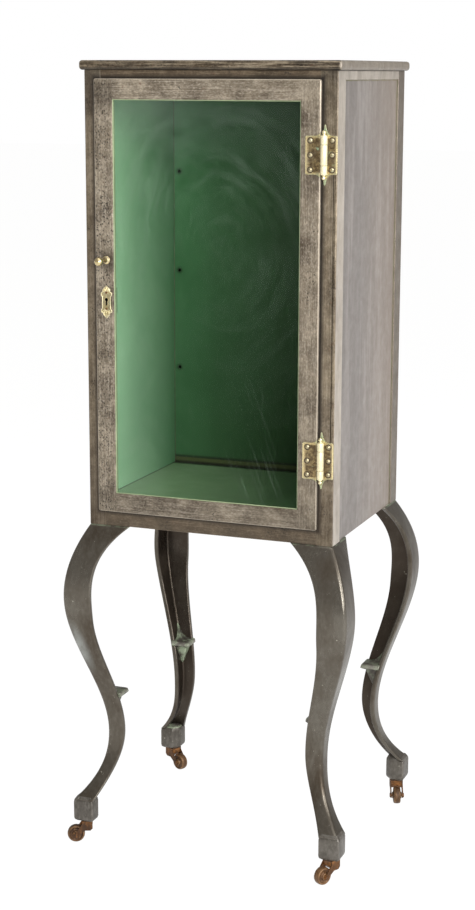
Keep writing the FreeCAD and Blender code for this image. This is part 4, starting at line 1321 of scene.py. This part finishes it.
    def build_knob(self) -> None:
        """Make the turned knob, a ball on a collared stem, and its rose."""
        origin, forward = (self.knob_x, self.front, self.knob_z), (0, -1, 0)
        reach, size = self.ball_reach, self.ball_radius
        ball = [(reach + size * math.sin(a), size * math.cos(a)) for a in np.linspace(-1.05, 1.5, 18)]
        stem = [(-27, 3), (3.2, 3), (3.4, 4.2), (4.6, 4.4), (6, 3.4), (9, 2.6), (14, 2.4), (19, 2.6),
                (21.2, 3.2), (21.6, 4.2), (22.8, 4.4), (23.4, 3.7)]
        self.kit.lathe("door_knob_turned", stem + ball, origin, forward, Body.KNOB.value, Slot.BRASS,
                       self.looks.knob, ["door_knob"])
        rose = [(0, 3.4), (0, 6.6), (0.3, 7.0), (0.9, 7.0), (1.3, 6.6), (1.7, 6.2), (2.4, 5.4), (2.9, 4.4),
                (3.0, 3.4)]
        self.kit.lathe("knob_rose_turned", rose, origin, forward, Body.DOOR.value, Slot.BRASS,
                       self.looks.knob, ["knob_rose"], True)

    def dress(self) -> None:
        """Finish the door's carried-over nodes."""
        kit, looks = self.kit, self.looks
        kit.dress(["door_glass"], looks.glass)
        kit.dress(["glazing_beads"], looks.bead)
        kit.dress(["lock_bolt", "latch_tongue", "latch_nut"], looks.screw, self.works_edge)
        kit.dress(["lock_case"], looks.lock, self.works_edge)
        kit.dress(["key_plate"], looks.plate, self.plate_edge)
        kit.dress(["key_plate_pins"], looks.rust, self.screw_edge)
        kit.dress(["hinge_door_screws", "hinge_post_screws"], looks.fixing, self.screw_edge)


@dataclass
class Hinge(Assembly):
    """Steeple hinge: two leaves, three knuckles and ball finials."""

    label: str
    level: float
    x: float = 203.55
    y: float = -196.15
    radius: float = 5.75
    bore: float = 2.6
    half_height: float = 31.0
    half_middle: float = 16.5
    gap: float = 0.4
    leaf: float = 1.8
    leaf_edge: float = 0.5
    leaf_corner: float = 2.5
    door_face: float = -196.5
    post_face: float = -190.0
    clear: float = 6.05
    door_reach: float = 31.0
    post_reach: float = 20.95
    spire: float = 18.0
    finial: float = 3.5
    screw_row: float = 23.5
    door_screw_x: float = 181.05
    post_screw_x: float = 216.0
    grime_and_shade_radius: float = 5.3

    @staticmethod
    def curve(points: Sequence[Sequence[float]], steps: int) -> Outline:
        """Cubic curve from the first of four control points to the last.

        Args:
            points: Four control points.
            steps: Points on the curve.

        Returns:
            Points on the curve.
        """
        a, b, c, d = (np.asarray(p, float) for p in points)
        t = np.linspace(0, 1, steps)[:, None]
        path = (1 - t) ** 3 * a + 3 * t * (1 - t) ** 2 * b + 3 * t ** 2 * (1 - t) * c + t ** 3 * d
        return [tuple(point) for point in path.tolist()]

    def corner(self, x: float, z: float, dx: float) -> Outline:
        """Rounded outer corner of a leaf in its upper half.

        Args:
            x: Corner along X.
            z: Corner along Z.
            dx: Direction of the leaf's top edge away from the corner, with its radius as length.

        Returns:
            Points from the side edge to the top edge.
        """
        r = abs(dx)
        return self.curve([(x, z - r), (x, z - r * 0.4), (x + dx * 0.6, z), (x + dx, z)], 6)

    def post_outline(self) -> Outline:
        """Upper half of the post leaf, from its outer edge over the spire to the middle knuckle's cut-out.

        Returns:
            Points relative to the hinge's middle.
        """
        h, tip = self.half_height, self.half_height + self.spire
        shoulder = tip - 2.2
        flank = self.curve([(14, h), (4.6, h + 0.4), (2.9, h + 7.5), (1.3, shoulder)], 12)
        point = self.curve([(1.3, shoulder), (1.0, tip), (-1.0, tip), (-1.3, shoulder)], 7)
        near = self.curve([(-1.3, shoulder), (-2.2, h + 8), (-3.4, h + 4), (-4.8, h)], 8)
        inner = self.half_middle + self.gap
        start = self.corner(self.post_reach, h, -self.leaf_corner)
        return start + flank + point[1:] + near[1:] + [(0, h), (0, inner), (self.clear, inner)]

    def door_outline(self) -> Outline:
        """Upper half of the door leaf, from its outer edge to the middle knuckle's tongue.

        Returns:
            Points relative to the hinge's middle.
        """
        h, m = self.half_height, self.half_middle
        rise = self.curve([(-18, h), (-11, h), (-8.5, h + 1.5), (-self.clear, h + 5)], 8)
        return self.corner(-self.door_reach, h, self.leaf_corner) + rise + [(-self.clear, m), (0, m)]

    def plate(self, half: Outline, face: float) -> np.ndarray:
        """Flat leaf from the upper half of its outline, mirrored below.

        Args:
            half: Points of the upper half.
            face: Place along Y of the leaf's seat.

        Returns:
            Points of the leaf.
        """
        upper = np.asarray(half, float)
        ring = np.concatenate([upper, upper[::-1] * (1, -1)])
        area = np.sum(ring[:, 0] * np.roll(ring[:, 1], -1) - np.roll(ring[:, 0], -1) * ring[:, 1])
        if area < 0:
            ring = ring[::-1]
        return slab(ring + (self.x, self.level), (face, face - self.leaf))

    def build_leaves(self) -> None:
        """Make the two flat leaves."""
        leaves = {"door": (self.door_outline(), self.door_face, Body.DOOR),
                  "post": (self.post_outline(), self.post_face, Body.CABINET)}
        for side, (half, face, body) in leaves.items():
            points = self.plate(half, face)
            node = f"{self.label}_hinge_{side}_leaf"
            self.kit.add(f"{self.label}_{side}_leaf_plate", points, ring_faces(points), body.value,
                         Slot.BRASS, self.looks.leaf, [node], self.leaf_edge, True)

    def build_grime_and_shade(self) -> None:
        """Make the thin dark rings round the screw heads, partly grimy and partly painted shade, as discs
        that show beyond them.
        """
        rows = self.level + np.array([-self.screw_row, 0.0, self.screw_row])
        sides = {"door": (self.door_screw_x, self.door_face, Body.DOOR),
                 "post": (self.post_screw_x, self.post_face, Body.CABINET)}
        for side, (x, seat, body) in sides.items():
            face = seat - self.leaf
            places = np.stack([np.full(3, x), rows], 1)
            points, faces = discs(places, (face + 0.1, face - 0.06), self.grime_and_shade_radius, 28)
            self.kit.add(f"{self.label}_{side}_screw_grime", points, faces, body.value, Slot.BRASS,
                         self.looks.grime, flat=True)

    def build(self) -> None:
        """Make the leaves, knuckles, grimy rings with painted shade round the screws, and the pin with its
        finials.
        """
        self.build_leaves()
        h, m, g, r = self.half_height, self.half_middle, self.gap, self.radius
        centre, up = (self.x, self.y, self.level), (0, 0, 1)
        knuckles = {"middle": (-m, m, Body.DOOR), "upper": (m + g, h, Body.CABINET),
                    "lower": (-h, -m - g, Body.CABINET)}
        for part, (low, high, body) in knuckles.items():
            rim = [(low, self.bore), (low, r - 0.7), (low + 0.25, r - 0.2), (low + 0.8, r), (high - 0.8, r),
                   (high - 0.25, r - 0.2), (high, r - 0.7), (high, self.bore)]
            self.kit.lathe(f"{self.label}_knuckle_{part}", rim, centre, up, body.value, Slot.BRASS,
                           self.looks.barrel)
        self.build_grime_and_shade()
        size = self.finial
        ball = [(h + 5.4 + size * math.sin(a), size * math.cos(a)) for a in np.linspace(-0.75, 1.5, 14)]
        top = [(h - 1, 2.5), (h, 2.5), (h + 0.1, 4.6), (h + 1.1, 4.6), (h + 1.4, 3.4), (h + 2.4, 2.5)] + ball
        profile = [(-along, width) for along, width in reversed(top)] + top
        self.kit.lathe(self.label + "_pin_turned", profile, centre, up, Body.CABINET.value, Slot.BRASS,
                       self.looks.brass, [self.label + "_hinge_pin"])


@dataclass
class Leg(Assembly):
    """Cast cabriole leg of angle section, with a ledge and a block foot.

    The arris and the free edge of each wall have outward places at the head, knee and ankle, drops of the
    knee and ankle, and slopes at the head and foot.
    """

    corner: Corner
    half_width: float = 225.0
    half_depth: float = 190.0
    head: float = 596.0
    height: float = 552.0
    foot_height: float = 40.0
    wall: float = 9.0
    wall_radii: tuple[float, ...] = (7.0, 3.0, 2.5, 4.0, 2.5, 3.0)
    arris_stops: Triple = (0.0, 38.0, -20.0)
    arris_turns: tuple[float, float] = (128.0, 391.0)
    arris_slopes: tuple[float, float] = (2.0, 2.4)
    edge_stops: Triple = (-76.0, -16.0, -52.0)
    edge_turns: tuple[float, float] = (166.0, 384.0)
    edge_slopes: tuple[float, float] = (3.6, 1.5)
    rows: int = 120
    steps: int = 6
    ledge_top: float = 283.0
    ledge_thick: float = 8.0
    ledge_reach: float = 48.0
    foot_out: float = 28.0
    foot_size: float = 38.0
    foot_cut: float = 12.0
    foot_radius: float = 3.0

    @staticmethod
    def ease(share: np.ndarray, leave: float, arrive: float) -> np.ndarray:
        """Smooth cubic step from zero to one with chosen end slopes.

        Args:
            share: Places between zero and one.
            leave: Slope at the start.
            arrive: Slope at the end.

        Returns:
            Eased places.
        """
        t = np.clip(share, 0, 1)
        return 3 * t ** 2 - 2 * t ** 3 + leave * t * (1 - t) ** 2 + arrive * (t ** 3 - t ** 2)

    def curve(self, drop: np.ndarray, stops: Sequence[float], turns: tuple[float, float],
              slopes: tuple[float, float]) -> np.ndarray:
        """Outward place of one edge of the leg: out to the knee, in to the ankle and out to the foot.

        Args:
            drop: Distances below the body.
            stops: Outward places at the head, knee, ankle and foot.
            turns: Drops of the knee and ankle.
            slopes: Slopes at the head and foot.

        Returns:
            Outward places.
        """
        head, knee, ankle, foot = stops
        at_knee, at_ankle = turns
        at_foot = self.height - self.foot_height
        first = head + (knee - head) * self.ease(drop / at_knee, slopes[0], 0)
        second = knee + (ankle - knee) * self.ease((drop - at_knee) / (at_ankle - at_knee), 0, 0)
        third = ankle + (foot - ankle) * self.ease((drop - at_ankle) / (at_foot - at_ankle), 0, slopes[1])
        return np.where(drop <= at_knee, first, np.where(drop <= at_ankle, second, third))

    def outer(self, drop: np.ndarray) -> np.ndarray:
        """Outward place of the leg's arris at distances below the body."""
        stops = (*self.arris_stops, self.foot_out)
        return self.curve(drop, stops, self.arris_turns, self.arris_slopes)

    def inner(self, drop: np.ndarray) -> np.ndarray:
        """Outward place of the free edge of each wall at distances below the body."""
        stops = (*self.edge_stops, self.foot_out - self.foot_size)
        return self.curve(drop, stops, self.edge_turns, self.edge_slopes)

    def place(self, plan: np.ndarray, z: np.ndarray) -> np.ndarray:
        """Points at this leg's corner.

        Args:
            plan: Rows by points by two, outwards from the body's corner.
            z: Height of each row.

        Returns:
            Rows by points by three.
        """
        sx, sy = self.corner.value
        return solid(sx * (self.half_width + plan[..., 0]), sy * (self.half_depth + plan[..., 1]), z[:, None])

    def add(self, part: str, points: np.ndarray, finish: Material,
            replaces: Sequence[str] = ()) -> bpy.types.Object:
        """Make one cast piece from a stack of plan outlines that runs downwards, with its faces outwards.

        Args:
            part: What follows the leg's name in the piece's name.
            points: Outlines by points by three.
            finish: Material.
            replaces: CAD nodes that it stands for.

        Returns:
            The new object.
        """
        sx, sy = self.corner.value
        faces = ring_faces(points) if sx * sy > 0 else flipped(ring_faces(points))
        return self.kit.add(f"{self.corner.label}_leg_{part}", points, faces, Body.CABINET.value, Slot.IRON,
                            finish, replaces)

    def build(self) -> None:
        """Make the stalk, foot and ledge.

        The stalk is an angle section with rounded corners, carried down the leg: its arris and its free edges
        each follow their own curve. Its inner side is marked as hollow for the finish.
        """
        drop = np.linspace(0, self.height - self.foot_height, self.rows)
        out, edge = self.outer(drop), self.inner(drop)
        back = out - self.wall
        corners = stacked((out, out), (out, edge), (back, edge), (back, back), (edge, back), (edge, out))
        plan = rounded_plan(corners, self.wall_radii, self.steps)
        points = self.place(plan, self.head - drop)
        stalk = self.add("stalk", points, self.looks.iron, [self.corner.label + "_leg"])
        row = np.zeros(points.shape[1])
        row[2 * self.steps + 2 : 5 * self.steps - 2] = 1.0
        hollow = stalk.data.attributes.new("hollow", "FLOAT", "POINT")
        hollow.data.foreach_set("value", np.tile(row, len(points)))
        self.build_foot()
        self.build_ledge()

    def build_foot(self) -> None:
        """Make the block foot: a square with one corner cut, scaled about its middle at each height."""
        far, near = self.foot_out, self.foot_out - self.foot_size
        cut, tall = near + self.foot_cut, self.foot_height
        base = np.array([(far, far), (far, near), (cut, near), (near, cut), (near, far)], float)
        middle = np.full(2, (far + near) / 2)
        shares = np.array([0.76, 0.9, 0.97, 1.0, 1.0, 0.95, 0.80])
        heights = self.head - self.height + np.array([tall + 6, tall + 2, tall - 1, tall - 4, 6.0, 2.5, 0.0])
        corners = middle + (base - middle)[None] * shares[:, None, None]
        plan = rounded_plan(corners, [self.foot_radius] * len(base), 5)
        chipped = self.corner is Corner.REAR_LEFT
        self.add("foot", self.place(plan, heights), self.looks.chipped_foot if chipped else self.looks.foot)

    def build_ledge(self) -> None:
        """Make the shelf ledge with its tapering gusset below and the spike above it.

        At each height it is a square that reaches in from the leg's arris by a share of the ledge's reach.
        """
        thick = self.ledge_thick
        drops = [-32, -24, -16, -8, -3, -0.6, 0, 1.2, thick - 1.2, thick, 12, 20, 30, 40, 48]
        shares = np.array([0.14, 0.19, 0.26, 0.36, 0.5, 0.7, 0.96, 1, 1, 0.96, 0.72, 0.6, 0.45, 0.3, 0.16])
        heights = self.ledge_top - np.array(drops)
        corner = self.outer(self.head - heights) - self.wall / 2
        low = corner - (corner[drops.index(0)] + self.ledge_reach) * shares
        corners = stacked((corner, corner), (corner, low), (low, low), (low, corner))
        plan = rounded_plan(corners, (0.4, 0.8, 2.4, 0.8), 6)
        painted = self.corner is Corner.REAR_LEFT
        self.add("ledge", self.place(plan, heights), self.looks.ledge if painted else self.looks.worn_ledge)


@dataclass
class Caster(Assembly):
    """Swivel caster with a turned wheel."""

    corner: Corner
    heading: float
    offset: tuple[float, float] = (234.0, 199.0)
    trail: float = 21.0
    axle: float = 15.875
    radius: float = 15.875
    web_front: float = 8.6
    web_rear: float = 10.0
    web_top: float = 39.8
    web_low: float = 25.0
    web_half: float = 10.0
    web_gap: float = 2.6
    web_cut: float = 3.0
    yoke_edge: float = 0.5
    axle_edge: float = 0.4

    def place(self, behind: np.ndarray, across: np.ndarray, z: np.ndarray) -> np.ndarray:
        """Points from distances behind and across the swivel, turned to the caster's heading.

        Args:
            behind: Distances from the swivel along the heading.
            across: Distances across it.
            z: Heights.

        Returns:
            Points.
        """
        sx, sy = self.corner.value
        turn = math.radians(self.heading)
        x = sx * self.offset[0] + behind * math.cos(turn) - across * math.sin(turn)
        y = sy * self.offset[1] + behind * math.sin(turn) + across * math.cos(turn)
        return solid(x, y, z)

    def build(self) -> None:
        """Turn the wheel, whose profile is the same on both sides, and make the web."""
        turn, r, name = math.radians(self.heading), self.radius, self.corner.label
        half = [(9, 2.9), (9, 5.6), (8.4, 6.3), (5.4, 6.8), (4.6, 7.6), (4.5, 10.4), (5, 11.6), (6.1, 12.2),
                (6.5, 13), (6.4, 14), (5.6, 14.9), (4.2, 15.5), (2.2, r - 0.06), (0.6, r)]
        profile = half + [(-along, width) for along, width in reversed(half)]
        self.kit.lathe(name + "_wheel_turned", profile[::-1], self.place(self.trail, 0.0, self.axle),
                       (-math.sin(turn), math.cos(turn), 0), name + "_wheel", Slot.WHEEL, self.looks.tread,
                       [name + "_caster_wheel"])
        self.build_web()

    def build_web(self) -> None:
        """Make the web that closes the yoke's crown between its cheeks.

        The outline is straight at the crown and the front, and below it follows a circle round the axle,
        clear of the wheel. It is drawn across from cheek to cheek.
        """
        clear = self.radius + self.web_gap
        angles = np.linspace(math.asin((self.web_low - self.axle) / clear),
                             math.acos((self.trail - self.web_rear) / clear), 8)
        arch = np.stack([self.trail - clear * np.cos(angles), self.axle + clear * np.sin(angles)], 1)
        top = np.array([(self.web_rear, self.web_top), (-self.web_front, self.web_top),
                        (-self.web_front, self.web_low + self.web_cut),
                        (self.web_cut - self.web_front, self.web_low)])
        outline = np.concatenate([top, arch])
        across = np.array([-self.web_half, self.web_half])[:, None]
        points = self.place(outline[None, :, 0], across, outline[None, :, 1])
        name = self.corner.label
        self.kit.add(name + "_yoke_web", points, flipped(ring_faces(points)), name + "_caster", Slot.CASTER,
                     self.looks.rust, flat=True)

    def dress(self) -> None:
        """Finish the yoke and axle."""
        self.kit.dress([self.corner.label + "_caster_yoke"], self.looks.rust, self.yoke_edge)
        self.kit.dress([self.corner.label + "_caster_axle"], self.looks.rust, self.axle_edge)


@dataclass
class Studio:
    """Camera, lights, floor and backdrop."""

    yaw: float = 21.11
    pitch: float = 11.73
    roll: float = 0.15
    shift: float = 0.0011
    camera_at: Triple = (1.1538, -3.0446, 1.3759)
    lens: float = 72.84
    sensor: float = 36.0
    floor_half: float = 30.0
    paper: Triple = (0.86, 0.86, 0.86)
    glow: float = 1.1
    glow_seen: float = 0.86
    glow_mirrored: float = 0.6
    fill: Triple = (1.0, 0.98, 0.95)
    fill_strength: float = 0.36

    def camera(self) -> None:
        """Put the camera where the photo was taken from."""
        yaw, pitch, roll = (math.radians(a) for a in (self.yaw, self.pitch, self.roll))
        level = math.cos(pitch)
        forward = Vector((-math.sin(yaw) * level, math.cos(yaw) * level, -math.sin(pitch)))
        right = Vector((math.cos(yaw), math.sin(yaw), 0))
        up = right.cross(forward)
        right, up = right * math.cos(roll) + up * math.sin(roll), up * math.cos(roll) - right * math.sin(roll)
        basis = Matrix((right, up, -forward)).transposed().to_4x4()
        data = bpy.data.cameras.new("camera")
        data.lens = self.lens
        data.sensor_width = self.sensor
        data.clip_end = 50.0
        data.shift_x = self.shift
        thing = bpy.data.objects.new("camera", data)
        thing.matrix_world = Matrix.Translation(Vector(self.camera_at)) @ basis
        bpy.context.scene.collection.objects.link(thing)
        bpy.context.scene.camera = thing

    @staticmethod
    def light(name: str, place: Triple, target: Triple, size: tuple[float, float], power: float,
              mirrored: bool = True) -> None:
        """Add one white soft box.

        Args:
            name: Light name.
            place: Position in metres.
            target: Point that it faces.
            size: Width and height in metres.
            power: Watts.
            mirrored: Whether glossy surfaces show it.
        """
        data = bpy.data.lights.new(name, "AREA")
        data.shape = "RECTANGLE"
        data.size, data.size_y = size
        data.energy = power
        thing = bpy.data.objects.new(name, data)
        thing.visible_glossy = mirrored
        aim = (Vector(target) - Vector(place)).to_track_quat("-Z", "Y")
        thing.matrix_world = Matrix.Translation(Vector(place)) @ aim.to_matrix().to_4x4()
        bpy.context.scene.collection.objects.link(thing)

    def floor(self) -> None:
        """Lay a pale floor that reads as white paper with soft shadows."""
        far = self.floor_half
        mesh = bpy.data.meshes.new("floor")
        mesh.from_pydata([(-far, -far, 0), (far, -far, 0), (far, far, 0), (-far, far, 0)], [], [(0, 1, 2, 3)])
        thing = bpy.data.objects.new("floor", mesh)
        bpy.context.scene.collection.objects.link(thing)
        s = Shader("paper")
        s.finish((*self.paper, 1.0), 0.9, 0.0)
        glow = s.node("Emission", {1: self.glow})
        path = s.node("LightPath")
        seen = s.product(path.outputs["Is Camera Ray"], self.glow_seen)
        share = s.calc("MAXIMUM", seen, s.product(path.outputs["Is Glossy Ray"], self.glow_mirrored))
        s.show(s.node("MixShader", {0: share, 1: s.main.outputs[0], 2: glow.outputs[0]}))
        mesh.materials.append(s.material)

    def world(self) -> None:
        """Fill the room with soft light and show the camera a white backdrop."""
        world = bpy.data.worlds.new("studio")
        world.use_nodes = True
        tree = world.node_tree
        tree.nodes.clear()
        output = tree.nodes.new("ShaderNodeOutputWorld")
        blend = tree.nodes.new("ShaderNodeMixShader")
        path = tree.nodes.new("ShaderNodeLightPath")
        tree.links.new(path.outputs["Is Camera Ray"], blend.inputs[0])
        backgrounds = ((self.fill, self.fill_strength), ((1.0, 1.0, 1.0), 1.0))
        for place, (colour, strength) in enumerate(backgrounds, 1):
            light = tree.nodes.new("ShaderNodeBackground")
            light.inputs[0].default_value = (*colour, 1.0)
            light.inputs[1].default_value = strength
            tree.links.new(light.outputs[0], blend.inputs[place])
        tree.links.new(blend.outputs[0], output.inputs[0])
        bpy.context.scene.world = world

    def build(self) -> None:
        """Set up the whole studio."""
        self.camera()
        self.floor()
        self.world()
        self.light("key", (3.2, -1.0, 2.2), (0, 0, 0.9), (1.6, 2.2), 70)
        self.light("window", (1.9, -3.3, 1.9), (-0.2, 0, 0.95), (1.4, 2.0), 118)
        self.light("front", (-1.8, -3.2, 1.6), (0, 0, 0.8), (1.6, 2.0), 24, mirrored=False)
        self.light("top", (0.3, -0.4, 3.6), (0, 0, 1.2), (2.2, 2.2), 30)
        bpy.context.scene.view_settings.view_transform = "Standard"


class Cabinet:
    """The whole cabinet, built sub-assembly by sub-assembly."""

    socket_edge: float = 0.4

    def __init__(self) -> None:
        """Prepare the piece maker, the finishes and the sub-assemblies."""
        self.kit = Kit()
        self.looks = Finishes()
        tools = (self.kit, self.looks)
        self.shell = Shell(*tools)
        self.door = Door(*tools)
        self.hinges = [Hinge(*tools, label, level) for label, level in HINGE_LEVELS.items()]
        self.legs = [Leg(*tools, corner) for corner in Corner]
        headings = (205.0, 241.0, 335.0, 291.0)
        self.casters = [Caster(*tools, corner, heading) for corner, heading in zip(Corner, headings)]

    def build(self) -> None:
        """Make every piece and finish every carried-over node."""
        self.shell.dress()
        self.shell.build()
        self.door.build()
        self.door.dress()
        for part in (*self.hinges, *self.legs, *self.casters):
            part.build()
        for caster in self.casters:
            caster.dress()
        self.kit.dress(["caster_sockets"], self.looks.rust, self.socket_edge)


def main() -> None:
    """Build the cabinet and its studio, and report the pieces made."""
    logging.basicConfig(level=logging.INFO)
    cabinet = Cabinet()
    cabinet.build()
    Studio().build()
    log.info("made %d pieces: %s", len(cabinet.kit.made), ", ".join(cabinet.kit.made))


if __name__ == "__main__":
    main()
